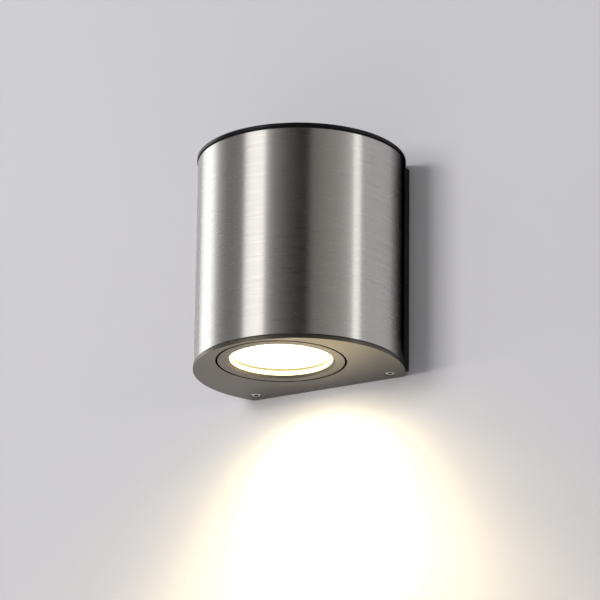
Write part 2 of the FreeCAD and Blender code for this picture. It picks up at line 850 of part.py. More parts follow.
def make_lamp_holder():
    """Ceramic holder whose kidney slots let the lamp's pins in and lock them after a twist."""
    length = d["holder_length"] - d["holder_width"]
    half = length / 2
    radius = d["holder_width"] / 2
    ends = []
    for side in (left, right):
        ends.append(cylinder(radius, d["holder_height"], half * side, lamp_y, holder_bottom))
    middle = box(-half, half, lamp_y - radius, lamp_y + radius, holder_bottom, holder_top)
    block = fuse(ends + [middle])
    lip_top = holder_bottom + d["holder_lip"]
    cavity_top = contact_bottom + d["contact_thick"]
    entry = -d["twist"]
    neck_slot = kidney(d["pin_neck"] + d["pin_gap"], holder_bottom - past, lip_top, entry, zero)
    head_slot = kidney(d["pin_head"] + d["pin_gap"], lip_top, cavity_top, entry, zero)
    entries = []
    for side in (left, right):
        radians = math.radians(entry.value)
        x = d["pin_circle"] * (math.cos(radians) * side)
        y = d["pin_circle"] * (math.sin(radians) * side) + lamp_y
        depth = d["holder_lip"] + past
        entries.append(cylinder(d["pin_head"] + d["pin_gap"], depth, x, y, holder_bottom - past))
    screw_holes = []
    screw_depth = d["holder_screw_length"] - d["bridge_steel"] + d["tap_run"]
    for x, y in both_sides(d["holder_screw_x"], lamp_y):
        screw_holes.append(cylinder(tapped_radius, screw_depth + past, x, y, holder_top - screw_depth))
    lead_holes = []
    for x, y in both_sides(d["lead_spread"], lamp_y):
        depth = holder_top - cavity_top + past
        lead_holes.append(cylinder(d["lead_radius"] + d["fit_gap"], depth, x, y, cavity_top))
    tools = fuse(neck_slot + head_slot + entries + screw_holes + lead_holes)
    sub_part(cut(block, tools), "lamp_holder")
    contacts = []
    for side in (left, right):
        plate = cylinder(d["pin_head"], d["contact_thick"], d["pin_circle"] * side, lamp_y, contact_bottom)
        contacts.append(plate)
    group("holder_contacts", contacts)


def slotted_screw(sizes, length, x, y, z, turn=None):
    """A screw with its head's seat at x, y, z; its shank points down unless it is turned."""
    head_radius, head_height, slot_width, shank_radius = [d[name] for name in sizes]
    head = cylinder(head_radius, head_height)
    shank = cylinder(shank_radius, length, z=-as_size(length))
    half = slot_width / 2
    reach = head_radius + past
    slot = box(-half, half, -reach, reach, head_height / 2, head_height + past)
    screw = cut(fuse([head, shank]), slot)
    place(screw, x, y, z, turn)
    return screw


def pan_screw(length, x, y, z, turn=None):
    sizes = ("pan_radius", "pan_height", "pan_slot", "thread_radius")
    return slotted_screw(sizes, length, x, y, z, turn)


def make_side_bracket(name, side):
    """Folded steel bracket that ties the cap to the bottom plate, beside the lamp."""
    body = new_body(name)
    low = plate_top + d["bracket_boss_height"]
    high = cap_bottom - d["bracket_boss_height"]
    out = bracket_x
    leg = out - d["bracket_steel"]
    tip = out - d["bracket_tab"]
    sketch = sketch_on(body, "XZ_Plane", d["bracket_y"] - d["bracket_width"] / 2)
    corners = [
        (out, low), (out, high), (tip, high), (tip, high - d["bracket_steel"]),
        (leg, high - d["bracket_steel"]), (leg, low + d["bracket_steel"]),
        (tip, low + d["bracket_steel"]), (tip, low),
    ]
    draw_outline(sketch, [(x * side, z) for x, z in corners])
    pad(body, sketch, d["bracket_width"])
    holes(body, [(bracket_screw_x * side, bracket_y)], pass_radius, total_height, high + past)
    place(body)


def make_bracket_screws():
    low = plate_top + d["bracket_boss_height"] + d["bracket_steel"]
    high = cap_bottom - d["bracket_boss_height"] - d["bracket_steel"]
    reach = d["bracket_boss_height"] + d["bracket_steel"]
    screws = []
    for x, y in both_sides(bracket_screw_x, bracket_y):
        screws.append(pan_screw(reach, x, y, low))
        screws.append(pan_screw(reach, x, y, high, upside_down))
    group("bracket_screws", screws)


def make_bridge():
    """Steel strap that stands on the plate's collar and carries the lamp holder."""
    body = new_body("holder_bridge")
    leg = d["bridge_leg_x"]
    steel = d["bridge_steel"]
    foot = leg + d["bridge_foot"]
    outline = [
        (foot, collar_top), (foot, collar_top + steel), (leg + steel, collar_top + steel),
        (leg + steel, holder_top + steel),
    ]
    inner = [(leg, holder_top), (leg, collar_top)]
    corners = outline + [(-x, z) for x, z in reversed(outline)]
    corners += [(-x, z) for x, z in reversed(inner)] + inner
    sketch = sketch_on(body, "XZ_Plane", -lamp_y - d["bridge_width"] / 2)
    draw_outline(sketch, corners)
    pad(body, sketch, d["bridge_width"])
    above = holder_top + steel + past
    through = steel + past * 2
    foot_places = both_sides(d["bridge_screw_x"], lamp_y)
    top_places = both_sides(d["holder_screw_x"], lamp_y)
    holes(body, foot_places, pass_radius, total_height, above)
    holes(body, top_places, pass_radius, through, above)
    holes(body, [(zero, lamp_y)], d["lead_hole"], through, above)
    place(body)
    feet = [pan_screw(d["bridge_screw_length"], x, y, collar_top + steel) for x, y in foot_places]
    group("bridge_screws", feet)
    tops = [pan_screw(d["holder_screw_length"], x, y, holder_top + steel) for x, y in top_places]
    group("holder_screws", tops)


def make_housing_screw(name, side):
    """Stainless socket screw that holds the housing to the wall base from below."""
    level = bottom + d["cap_head_sink"]
    x = housing_screw_x * side
    y = housing_screw_y
    head = cylinder(d["cap_head_radius"], d["cap_head_height"], x, y, level)
    reach = d["plate_rim"] + d["spigot_height"] + d["housing_screw_reach"] - d["cap_head_sink"]
    shank = cylinder(d["thread_radius"], reach, x, y, level)
    socket = doc.addObject("Part::Prism", "Socket")
    socket.Polygon = 6
    bind(socket, "Circumradius", d["socket_flats"] / math.sqrt(3))
    bind(socket, "Height", d["socket_depth"] + past)
    place(socket, x, y, level - past)
    sub_part(cut(fuse([head, shank]), socket), name)


def pole_x(index):
    return d["pole_pitch"] * (index - 1)


def make_terminal_block():
    """Three-pole block on the base, with a brass clamp and two screws in each pole."""
    low = block_level - d["block_height"] / 2
    high = block_level + d["block_height"] / 2
    front = base_front - d["block_depth"]
    half = d["block_length"] / 2
    axis_y = base_front - d["block_depth"] / 2
    block = box(-half, half, front, base_front, low, high)
    tube_low = block_level - d["clamp_length"] / 2
    head_seat = axis_y - d["clamp_radius"] - d["pole_screw_stand"]
    shank_length = d["clamp_radius"] + d["pole_screw_stand"] - d["clamp_bore"]
    screw_sizes = ("pole_head_radius", "pole_head_height", "pole_slot", "pole_screw_radius")
    port_radius = d["pole_screw_radius"] + d["thread_gap"]
    well_radius = d["clamp_radius"] + d["clamp_gap"]
    tools = []
    clamps = []
    screws = []
    for index in range(3):
        x = pole_x(index)
        tools.append(cylinder(well_radius, d["block_height"] + past * 2, x, axis_y, low - past))
        tube = cylinder(d["clamp_radius"], d["clamp_length"], x, axis_y, tube_low)
        ports = [cylinder(d["clamp_bore"], d["clamp_length"] + past * 2, x, axis_y, tube_low - past)]
        for step in (-0.5, 0.5):
            level = block_level + d["pole_screw_space"] * step
            tools.append(cylinder(d["pole_well"], d["block_depth"] / 2 + past, x, axis_y, level, forward))
            ports.append(cylinder(port_radius, d["clamp_radius"] + past, x, axis_y, level, forward))
            screws.append(slotted_screw(screw_sizes, shank_length, x, head_seat, level, forward))
        clamps.append(cut(tube, fuse(ports)))
    fix_x = d["pole_pitch"] / 2
    depth = d["block_depth"] + past * 2
    tools.append(cylinder(pass_radius, depth, fix_x, base_front + past, block_level, forward))
    sub_part(cut(block, fuse(tools)), "terminal_block")
    group("terminal_clamps", clamps)
    group("terminal_screws", screws)
    mount = pan_screw(d["block_depth"] + d["base_web"], fix_x, front, block_level, forward)
    sub_part(mount, "terminal_mount_screw")


def make_earth_point():
    """Ring tag under a screw in the wall base; returns where the earth lead ends in it."""
    x = earth_x
    half = d["tag_tongue"] / 2
    barrel_low = earth_level + d["tag_reach"]
    axis_y = base_front - d["tag_barrel_radius"]
    ring = cylinder(d["tag_radius"], d["tag_thick"], x, base_front, earth_level, forward)
    tongue_low = earth_level + d["earth_thread"] + past
    tongue = box(x - half, x + half, base_front - d["tag_thick"], base_front, tongue_low, barrel_low + past)
    barrel = cylinder(d["tag_barrel_radius"], d["tag_barrel_length"], x, axis_y, barrel_low)
    hole_radius = d["earth_thread"] + d["pass_gap"]
    hole = cylinder(hole_radius, d["tag_thick"] + past * 2, x, base_front + past, earth_level, forward)
    bore_low = barrel_low + d["tag_crimp"]
    bore_radius = d["lead_radius"] + d["fit_gap"]
    bore = cylinder(bore_radius, d["tag_barrel_length"], x, axis_y, bore_low)
    sub_part(cut(fuse([ring, tongue, barrel]), fuse([hole, bore])), "earth_tag")
    seat = base_front - d["tag_thick"]
    reach = d["tag_thick"] + d["base_web"] + d["tap_run"]
    sizes = ("earth_head_radius", "earth_head_height", "pan_slot", "earth_thread")
    sub_part(slotted_screw(sizes, reach, x, seat, earth_level, forward), "earth_screw")
    return axis_y, bore_low + d["lead_entry"]


def corner_arc(before, corner, after):
    """Tangent arc at a corner of a lead's route: start, middle, end and radius."""
    back = before - corner
    ahead = after - corner
    run = min(back.Length, ahead.Length)
    turn = math.pi - back.getAngle(ahead)
    reach = arc_share * run
    radius = reach / math.tan(turn / 2)
    back.normalize()
    ahead.normalize()
    start = corner + back * reach
    end = corner + ahead * reach
    towards = back + ahead
    towards.normalize()
    middle = corner + towards * (radius / math.cos(turn / 2) - radius)
    return start, middle, end, radius


def make_lead(name, route):
    """An internal lead along straight runs joined by tangent arcs."""
    points = [FreeCAD.Vector(*[as_size(number).value for number in spot]) for spot in route]
    edges = []
    last = points[0]
    radii = []
    for before, corner, after in zip(points, points[1:], points[2:]):
        start, middle, end, radius = corner_arc(before, corner, after)
        edges.append(Part.LineSegment(last, start).toShape())
        edges.append(Part.Arc(start, middle, end).toShape())
        last = end
        radii.append(radius)
    edges.append(Part.LineSegment(last, points[-1]).toShape())
    path = Part.Wire(edges)
    radius = d["lead_radius"].value
    section = Part.Wire(Part.Circle(points[0], points[1] - points[0], radius).toShape())
    item = sub_part(doc.addObject("Part::Feature", name), name)
    item.Shape = path.makePipeShell([section], True, False)
    item.Placement = FreeCAD.Placement()
    expected = math.pi * radius ** 2 * path.Length
    print(name, "length %.1f" % path.Length, "volume ratio %.4f" % (item.Shape.Volume / expected),
          "radii", ["%.1f" % number for number in radii])


def make_leads(tag_y, tag_level):
    """The two lamp leads arch over to the holder, and the earth lead goes to the tag beside the block."""
    start_z = block_level + d["pole_screw_space"] / 2 - d["lead_entry"]
    axis_y = base_front - d["block_depth"] / 2
    out_z = block_level + d["block_height"] / 2
    land_z = contact_bottom + d["contact_thick"] + d["lead_entry"]
    for name, pole, side in (("lead_live", 0, left), ("lead_neutral", 1, right)):
        from_x = pole_x(pole)
        to_x = d["lead_spread"] * side
        step = (to_x - from_x) / 4
        make_lead(name, [
            (from_x, axis_y, start_z),
            (from_x, axis_y, out_z + d["lamp_lead_out"]),
            (from_x + step, axis_y - d["lamp_lead_front"], out_z + d["lamp_lead_arch"]),
            (from_x + step * 3, lamp_y + d["lamp_lead_back"], out_z + d["lamp_lead_shoulder"]),
            (to_x, lamp_y, out_z - d["lamp_lead_fall"]),
            (to_x, lamp_y, land_z),
        ])
    from_x = pole_x(2)
    step = (earth_x - from_x) / 3
    front = d["earth_lead_front"]
    make_lead("lead_earth", [
        (from_x, axis_y, start_z),
        (from_x, axis_y, out_z + d["earth_lead_out"]),
        (from_x + step * 0.9, axis_y + front, out_z + d["earth_lead_arch"]),
        (from_x + step * 2.3, tag_y - front, out_z + d["earth_lead_shoulder"]),
        (earth_x, tag_y, out_z + d["earth_lead_fall"]),
        (earth_x, tag_y, tag_level),
    ])


def check_and_write():
    doc.recompute()
    for item in doc.Objects:
        if "Invalid" in item.State or "Error" in item.State:
            raise ValueError("%s failed: %s" % (item.Label, item.State))
    os.makedirs("parts", exist_ok=True)
    for item in parts:
        if item.Shape.isNull() or not item.Shape.isValid():
            raise ValueError("%s has no valid shape" % item.Label)
    for item in parts:
        item.Shape.exportStep("parts/%s.step" % item.Label)
        print(item.Label, len(item.Shape.Solids), "solids", round(item.Shape.Volume, 1), "mm3")


make_wall_base()
make_wall_seal()
make_grommet()
make_sleeve()
make_top_cap()
make_bottom_plate()
make_seam_gasket("bottom_gasket", plate_top, housing_screw_places)
make_seam_gasket("top_gasket", sleeve_top)
make_bezel()
make_glass()
make_lamp()
make_lamp_holder()
make_bridge()
make_side_bracket("side_bracket_left", left)
make_side_bracket("side_bracket_right", right)
make_bracket_screws()
make_housing_screw("housing_screw_left", left)
make_housing_screw("housing_screw_right", right)
make_terminal_block()
tag_y, tag_level = make_earth_point()
make_leads(tag_y, tag_level)
check_and_write()
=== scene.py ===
import bmesh
import bpy
import math
from mathutils import Matrix, Vector


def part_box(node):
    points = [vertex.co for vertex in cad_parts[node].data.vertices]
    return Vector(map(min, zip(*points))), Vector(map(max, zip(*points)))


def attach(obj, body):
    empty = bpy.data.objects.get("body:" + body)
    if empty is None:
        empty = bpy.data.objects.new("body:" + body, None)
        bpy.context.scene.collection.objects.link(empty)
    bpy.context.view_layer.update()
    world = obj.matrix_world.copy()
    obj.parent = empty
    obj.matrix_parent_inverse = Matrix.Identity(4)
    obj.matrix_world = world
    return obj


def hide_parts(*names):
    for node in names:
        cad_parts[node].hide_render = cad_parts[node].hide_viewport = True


# A wall light: a brushed stainless tube between a black cap and an anthracite bottom plate.
# Metres. The wall is the plane y = 0 and the light stands out from it towards -Y.

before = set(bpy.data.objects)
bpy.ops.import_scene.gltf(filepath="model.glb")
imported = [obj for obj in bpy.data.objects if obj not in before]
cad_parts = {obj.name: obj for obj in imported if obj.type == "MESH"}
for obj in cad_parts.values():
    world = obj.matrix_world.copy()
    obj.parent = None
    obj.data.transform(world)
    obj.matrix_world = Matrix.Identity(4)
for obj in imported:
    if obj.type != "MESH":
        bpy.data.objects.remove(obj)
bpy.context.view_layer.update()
scene = bpy.context.scene
mm = 0.001

print("frame loaded:", len(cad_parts), "nodes")


# helpers for node trees

def addNode(tree, kind, inputs=None, **settings):
    made = tree.nodes.new(kind)
    for key, value in settings.items():
        setattr(made, key, value)
    for key, value in (inputs or {}).items():
        if isinstance(value, bpy.types.NodeSocket):
            tree.links.new(value, made.inputs[key])
        else:
            made.inputs[key].default_value = value
    return made


def calc(tree, operation, first, second=0.0, third=0.0):
    made = addNode(tree, "ShaderNodeMath", {0: first, 1: second, 2: third}, operation=operation)
    return made.outputs[0]


def vectorCalc(tree, operation, first, second=(0.0, 0.0, 0.0)):
    made = addNode(tree, "ShaderNodeVectorMath", {0: first, 1: second}, operation=operation)
    return made.outputs[0]


def mapRange(tree, value, low, high, toLow, toHigh):
    settings = {"Value": value, "From Min": low, "From Max": high, "To Min": toLow, "To Max": toHigh}
    return addNode(tree, "ShaderNodeMapRange", settings).outputs["Result"]


def mixColour(tree, share, first, second):
    made = addNode(tree, "ShaderNodeMix", data_type="RGBA")
    for socket, value in zip((made.inputs[0], made.inputs[6], made.inputs[7]), (share, first, second)):
        if isinstance(value, bpy.types.NodeSocket):
            tree.links.new(value, socket)
        else:
            socket.default_value = value
    return made.outputs[2]


def blend(tree, first, second, share):
    return calc(tree, "MULTIPLY_ADD", second, share, calc(tree, "MULTIPLY", first, 1.0 - share))


def newGroup(name, kind, sockets, results):
    tree = bpy.data.node_groups.new(name, kind)
    for label, socketKind, value in sockets:
        made = tree.interface.new_socket(label, in_out="INPUT", socket_type=socketKind)
        if value is not None:
            made.default_value = value
    for label, socketKind in results:
        tree.interface.new_socket(label, in_out="OUTPUT", socket_type=socketKind)
    return tree, tree.nodes.new("NodeGroupInput").outputs, tree.nodes.new("NodeGroupOutput").inputs


def rgba(colour):
    return (colour[0], colour[1], colour[2], 1.0)


# camera: at the photo's place, below the light and to its right

cameraSizes = {
    "place": (1.01215, -1.82083, -0.73591),
    "forward": (-0.4653365, 0.8216953, 0.3290574),
    "up": (0.1517367, -0.2922024, 0.9442424),
    "lens": 237.6,
    "sensor": 36.0,
    "clip": (0.05, 50.0),
}


def makeCamera():
    forward = Vector(cameraSizes["forward"]).normalized()
    right = forward.cross(Vector(cameraSizes["up"])).normalized()
    up = right.cross(forward)
    turn = Matrix((right, up, -forward)).transposed().to_4x4()
    data = bpy.data.cameras.new("camera")
    data.lens = cameraSizes["lens"]
    data.sensor_width = cameraSizes["sensor"]
    data.clip_start, data.clip_end = cameraSizes["clip"]
    camera = bpy.data.objects.new("camera", data)
    camera.matrix_world = Matrix.Translation(cameraSizes["place"]) @ turn
    scene.collection.objects.link(camera)
    scene.camera = camera


makeCamera()
print("camera placed")


# shader groups that more than one finish uses

noiseLook = {
    # detail and roughness of each noise
    "fine": (2.0, 0.6),
    "slow": (4.0, 0.55),
    "lines": (3.0, 0.6),
    "bands": (2.0, 0.5),
    # how much finer than the lines the bands run, across and along them
    "bandAcross": 0.22,
    "bandAlong": 0.5,
}


def addNoise(tree, place, scale, kind):
    detail, roughness = noiseLook[kind]
    settings = {"Vector": place, "Scale": scale, "Detail": detail, "Roughness": roughness}
    return addNode(tree, "ShaderNodeTexNoise", settings).outputs[0]


def makeGrainGroup():
    # fine even grain of paint, rubber and moulded parts, and slow patches over it
    sockets = [("Grain", "NodeSocketFloat", 3000.0), ("Patches", "NodeSocketFloat", 30.0)]
    results = [("Fine", "NodeSocketFloat"), ("Slow", "NodeSocketFloat")]
    tree, given, put = newGroup("surfaceGrain", "ShaderNodeTree", sockets, results)
    place = addNode(tree, "ShaderNodeTexCoord").outputs["Object"]
    tree.links.new(addNoise(tree, place, given["Grain"], "fine"), put["Fine"])
    tree.links.new(addNoise(tree, place, given["Patches"], "slow"), put["Slow"])
    return tree


def makeBrushGroup():
    # long thin lines that run along U, as a belt leaves them
    sockets = [("Length", "NodeSocketFloat", 0.03), ("Spacing", "NodeSocketFloat", 0.0004),
               ("Coordinates", "NodeSocketVector", None)]
    results = [("Lines", "NodeSocketFloat"), ("Bands", "NodeSocketFloat")]
    tree, given, put = newGroup("brushLines", "ShaderNodeTree", sockets, results)
    split = addNode(tree, "ShaderNodeSeparateXYZ", {0: given["Coordinates"]})
    along = calc(tree, "DIVIDE", split.outputs[0], given["Length"])
    across = calc(tree, "DIVIDE", split.outputs[1], given["Spacing"])
    fineAt = addNode(tree, "ShaderNodeCombineXYZ", {0: along, 1: across, 2: split.outputs[2]})
    wideAcross = calc(tree, "MULTIPLY", across, noiseLook["bandAcross"])
    wideAlong = calc(tree, "MULTIPLY", along, noiseLook["bandAlong"])
    wideAt = addNode(tree, "ShaderNodeCombineXYZ", {0: wideAlong, 1: wideAcross, 2: split.outputs[2]})
    tree.links.new(addNoise(tree, fineAt.outputs[0], 1.0, "lines"), put["Lines"])
    tree.links.new(addNoise(tree, wideAt.outputs[0], 1.0, "bands"), put["Bands"])
    return tree


def makePaintedShadeGroup():
    # painted shade in narrow gaps and sockets: 1 inside them, 0 on the faces that show; both sides alike
    sockets = [("Radius", "NodeSocketFloat", 0.0352), ("Half Width", "NodeSocketFloat", 0.0006),
               ("Level", "NodeSocketFloat", 0.0), ("Centre", "NodeSocketVector", None)]
    tree, given, put = newGroup("paintedSeamShade", "ShaderNodeTree", sockets, [("Mask", "NodeSocketFloat")])
    place = addNode(tree, "ShaderNodeTexCoord").outputs["Object"]
    split = addNode(tree, "ShaderNodeSeparateXYZ", {0: place})
    folded = addNode(tree, "ShaderNodeCombineXYZ", {0: calc(tree, "ABSOLUTE", split.outputs[0]),
                                                    1: split.outputs[1], 2: split.outputs[2]})
    away = addNode(tree, "ShaderNodeSeparateXYZ", {0: vectorCalc(tree, "SUBTRACT", folded.outputs[0],
                                                                 given["Centre"])})
    across = calc(tree, "SQRT", calc(tree, "MULTIPLY_ADD", away.outputs[0], away.outputs[0],
                                     calc(tree, "MULTIPLY", away.outputs[1], away.outputs[1])))
    off = calc(tree, "ABSOLUTE", calc(tree, "SUBTRACT", across, given["Radius"]))
    near = calc(tree, "LESS_THAN", off, given["Half Width"])
    deep = calc(tree, "GREATER_THAN", away.outputs[2], given["Level"])
    tree.links.new(calc(tree, "MULTIPLY", near, deep), put["Mask"])
    return tree


grainGroup = makeGrainGroup()
brushGroup = makeBrushGroup()
paintedShadeGroup = makePaintedShadeGroup()


def useGroup(tree, group, **values):
    made = addNode(tree, "ShaderNodeGroup", node_tree=group)
    for key, value in values.items():
        if isinstance(value, bpy.types.NodeSocket):
            tree.links.new(value, made.inputs[key])
        else:
            made.inputs[key].default_value = value
    return made.outputs


# finishes: what a user would change about the plain ones; lengths in metres

finishes = {
    "blackPaint": {"colour": (0.0035, 0.0035, 0.0040), "other": (0.0060, 0.0060, 0.0068),
                   "rough": (0.26, 0.34), "grain": 2600.0, "bump": 0.05, "specular": 0.2},
    "anthracitePaint": {"colour": (0.016, 0.0155, 0.0145), "other": (0.024, 0.023, 0.021),
                        "rough": (0.30, 0.34), "grain": 2400.0, "bump": 0.06, "specular": 1.0, "coat": 0.1,
                        "tint": (1.0, 0.88, 0.70)},
    # painted light: a bright copy of the bezel's finish for the lit wall of its opening
    "paintedLitBore": {"colour": (0.42, 0.40, 0.34), "other": (0.38, 0.36, 0.30), "rough": (0.30, 0.42),
                  "grain": 2400.0, "bump": 0.03, "metal": 1.0},
    "basePaint": {"colour": (0.014, 0.014, 0.015), "other": (0.022, 0.022, 0.023), "rough": (0.50, 0.62),
                  "grain": 1600.0, "bump": 0.15},
    "blackRubber": {"colour": (0.010, 0.010, 0.010), "other": (0.018, 0.018, 0.018), "rough": (0.62, 0.78),
                    "grain": 1800.0, "bump": 0.10},
    "lampHousing": {"colour": (0.62, 0.62, 0.61), "other": (0.52, 0.52, 0.50), "rough": (0.28, 0.40),
                    "grain": 1500.0, "bump": 0.04, "metal": 1.0},
    "whitePlastic": {"colour": (0.74, 0.73, 0.69), "other": (0.66, 0.65, 0.60), "rough": (0.35, 0.48),
                     "grain": 2000.0, "bump": 0.06},
    "whiteCeramic": {"colour": (0.80, 0.79, 0.76), "other": (0.70, 0.68, 0.63), "rough": (0.22, 0.40),
                     "grain": 900.0, "bump": 0.10, "coat": 0.3},
    "nickel": {"colour": (0.58, 0.55, 0.50), "other": (0.50, 0.47, 0.42), "rough": (0.18, 0.30),
               "grain": 2500.0, "bump": 0.03, "metal": 1.0},
    "brassParts": {"colour": (0.68, 0.49, 0.20), "other": (0.55, 0.37, 0.14), "rough": (0.22, 0.38),
                   "grain": 2200.0, "bump": 0.05, "metal": 1.0},
    "zincSteel": {"colour": (0.58, 0.58, 0.57), "other": (0.46, 0.47, 0.48), "rough": (0.28, 0.46),
                  "grain": 1500.0, "bump": 0.05, "metal": 1.0},
    "springSteel": {"colour": (0.46, 0.46, 0.46), "other": (0.36, 0.35, 0.34), "rough": (0.25, 0.38),
                    "grain": 2200.0, "bump": 0.03, "metal": 1.0},
    "stainlessScrews": {"colour": (0.86, 0.84, 0.80), "other": (0.78, 0.76, 0.72), "rough": (0.20, 0.32),
                        "grain": 2600.0, "bump": 0.03, "metal": 1.0},
    "tinnedCopper": {"colour": (0.62, 0.60, 0.57), "other": (0.60, 0.48, 0.38), "rough": (0.30, 0.46),
                     "grain": 1800.0, "bump": 0.05, "metal": 1.0},
    "brownLead": {"colour": (0.16, 0.070, 0.030), "other": (0.13, 0.055, 0.024), "rough": (0.30, 0.42),
                  "grain": 2600.0, "bump": 0.04},
    "blueLead": {"colour": (0.020, 0.10, 0.36), "other": (0.016, 0.08, 0.30), "rough": (0.30, 0.42),
                 "grain": 2600.0, "bump": 0.04},
}


# what the plain finishes share
finishRules = {
    "patches": 35.0,
    "patchEdges": (0.35, 0.65),
    "speckShare": 0.5,
    # near black, for the painted shade in gaps and sockets
    "paintedShadeColour": (0.001, 0.001, 0.001),
    "specular": 0.5,
    "coatRough": 0.24,
    "bumpDepth": 0.0002,
}


def newMaterial(name):
    made = bpy.data.materials.new(name)
    made.use_nodes = True
    tree = made.node_tree
    tree.nodes.clear()
    out = tree.nodes.new("ShaderNodeOutputMaterial")
    shader = tree.nodes.new("ShaderNodeBsdfPrincipled")
    tree.links.new(shader.outputs[0], out.inputs[0])
    return made, tree, shader


def addBump(tree, shader, height, strength, distance):
    bump = addNode(tree, "ShaderNodeBump", {"Height": height, "Strength": strength, "Distance": distance})
    tree.links.new(bump.outputs[0], shader.inputs["Normal"])


def makeFinish(name):
    look, rules = finishes[name], finishRules
    made, tree, shader = newMaterial(name)
    grain = useGroup(tree, grainGroup, Grain=look["grain"], Patches=rules["patches"])
    patches = mapRange(tree, grain["Slow"], *rules["patchEdges"], 0.0, 1.0)
    speck = blend(tree, patches, grain["Fine"], rules["speckShare"])
    specular, coat = look.get("specular", rules["specular"]), look.get("coat", 0.0)
    colour = mixColour(tree, speck, rgba(look["colour"]), rgba(look["other"]))
    # the bezel's gap and the screw's socket get painted shade: near black, with no gloss or coat
    if name in paintedShades:
        gapShade = useGroup(tree, paintedShadeGroup, **paintedShades[name])
        colour = mixColour(tree, gapShade["Mask"], colour, rgba(rules["paintedShadeColour"]))
        unshadedShare = calc(tree, "SUBTRACT", 1.0, gapShade["Mask"])
        tree.links.new(calc(tree, "MULTIPLY", unshadedShare, specular), shader.inputs["Specular IOR Level"])
        tree.links.new(calc(tree, "MULTIPLY", unshadedShare, coat), shader.inputs["Coat Weight"])
    else:
        shader.inputs["Specular IOR Level"].default_value = specular
        shader.inputs["Coat Weight"].default_value = coat
    tree.links.new(colour, shader.inputs["Base Color"])
    low, high = look["rough"]
    tree.links.new(mapRange(tree, patches, 0.0, 1.0, low, high), shader.inputs["Roughness"])
    shader.inputs["Metallic"].default_value = look.get("metal", 0.0)
    shader.inputs["Coat Roughness"].default_value = rules["coatRough"]
    shader.inputs["Specular Tint"].default_value = rgba(look.get("tint", (1.0, 1.0, 1.0)))
    addBump(tree, shader, grain["Fine"], look["bump"], rules["bumpDepth"])
    return made


brushedSizes = {
    "colour": (0.60, 0.585, 0.565),
    "other": (0.565, 0.551, 0.531),
    "lineLength": 0.030,
    "lineSpacing": 0.00045,
    "roughness": (0.26, 0.31),
    "anisotropy": 1.0,
    "quarterTurn": 0.25,
    "lineEdges": (0.35, 0.65),
    "lineShare": 0.5,
    "grain": 4000.0,
    "patches": 14.0,
    "slowShare": 0.4,
    "roughEdges": (0.2, 0.8),
    "bump": 0.05,
    "bumpDepth": 0.00005,
}


def makeBrushedStainless():
    look = brushedSizes
    made, tree, shader = newMaterial("brushedStainless")
    place = addNode(tree, "ShaderNodeUVMap", uv_map="UVMap").outputs[0]
    brush = useGroup(tree, brushGroup, Length=look["lineLength"], Spacing=look["lineSpacing"],
                     Coordinates=place)
    grain = useGroup(tree, grainGroup, Grain=look["grain"], Patches=look["patches"])
    lines = mapRange(tree, blend(tree, brush["Bands"], brush["Lines"], look["lineShare"]),
                     *look["lineEdges"], 0.0, 1.0)
    tree.links.new(mixColour(tree, lines, rgba(look["colour"]), rgba(look["other"])),
                   shader.inputs["Base Color"])
    spread = blend(tree, grain["Slow"], lines, 1.0 - look["slowShare"])
    tree.links.new(mapRange(tree, spread, *look["roughEdges"], *look["roughness"]),
                   shader.inputs["Roughness"])
    shader.inputs["Metallic"].default_value = 1.0
    shader.inputs["Anisotropic"].default_value = look["anisotropy"]
    shader.inputs["Anisotropic Rotation"].default_value = look["quarterTurn"]
    tangent = addNode(tree, "ShaderNodeTangent", direction_type="UV_MAP", uv_map="UVMap")
    tree.links.new(tangent.outputs[0], shader.inputs["Tangent"])
    addBump(tree, shader, brush["Lines"], look["bump"], look["bumpDepth"])
    return made


# seenGlow is the share of the glow that the camera gets, so that the glass's edge stays crisp
glassSizes = {
    "colour": (0.95, 0.94, 0.90),
    "other": (0.88, 0.87, 0.84),
    "glow": (1.0, 0.84, 0.46),
    "otherGlow": (1.0, 0.82, 0.42),
    "seenGlow": (0.135, 0.133, 0.112),
    "strength": 10.5,
    "ior": 1.5,
    "grain": 1500.0,
    "patches": 60.0,
    "grainEdges": (0.3, 0.7),
    "rough": (0.42, 0.58),
    "bump": 0.15,
    "bumpDepth": 0.0001,
}


def makeFrostedGlass():
    # lit from behind, so its glow carries the look
    look = glassSizes
    made, tree, shader = newMaterial("frostedGlass")
    grain = useGroup(tree, grainGroup, Grain=look["grain"], Patches=look["patches"])
    glow = mixColour(tree, grain["Slow"], rgba(look["glow"]), rgba(look["otherGlow"]))
    seen = addNode(tree, "ShaderNodeLightPath").outputs["Is Camera Ray"]
    tree.links.new(mixColour(tree, seen, glow, rgba(look["seenGlow"])), shader.inputs["Emission Color"])
    tree.links.new(mixColour(tree, grain["Fine"], rgba(look["colour"]), rgba(look["other"])),
                   shader.inputs["Base Color"])
    shader.inputs["Emission Strength"].default_value = look["strength"]
    rough = mapRange(tree, grain["Fine"], *look["grainEdges"], *look["rough"])
    tree.links.new(rough, shader.inputs["Roughness"])
    shader.inputs["IOR"].default_value = look["ior"]
    addBump(tree, shader, grain["Fine"], look["bump"], look["bumpDepth"])
    return made


# the lamp's clear front glass, and the gasket that carries the frosted one; the gasket's dark tan is partly
# its own colour and partly painted shade at the glass's rim
slowSizes = {
    "lampGlass": {"colour": (0.93, 0.95, 0.94), "other": (0.88, 0.91, 0.90), "rough": (0.02, 0.08),
                  "grain": 900.0, "patches": 40.0, "bump": 0.02, "transmission": 0.9},
    "siliconeAndRimShade": {"colour": (0.072, 0.064, 0.034), "other": (0.058, 0.052, 0.027), "rough": (0.45, 0.60),
                      "grain": 1400.0, "patches": 80.0, "bump": 0.1, "transmission": 0.0},
    "slowEdges": (0.3, 0.7),
    "ior": 1.5,
    "bumpDepth": 0.0001,
}


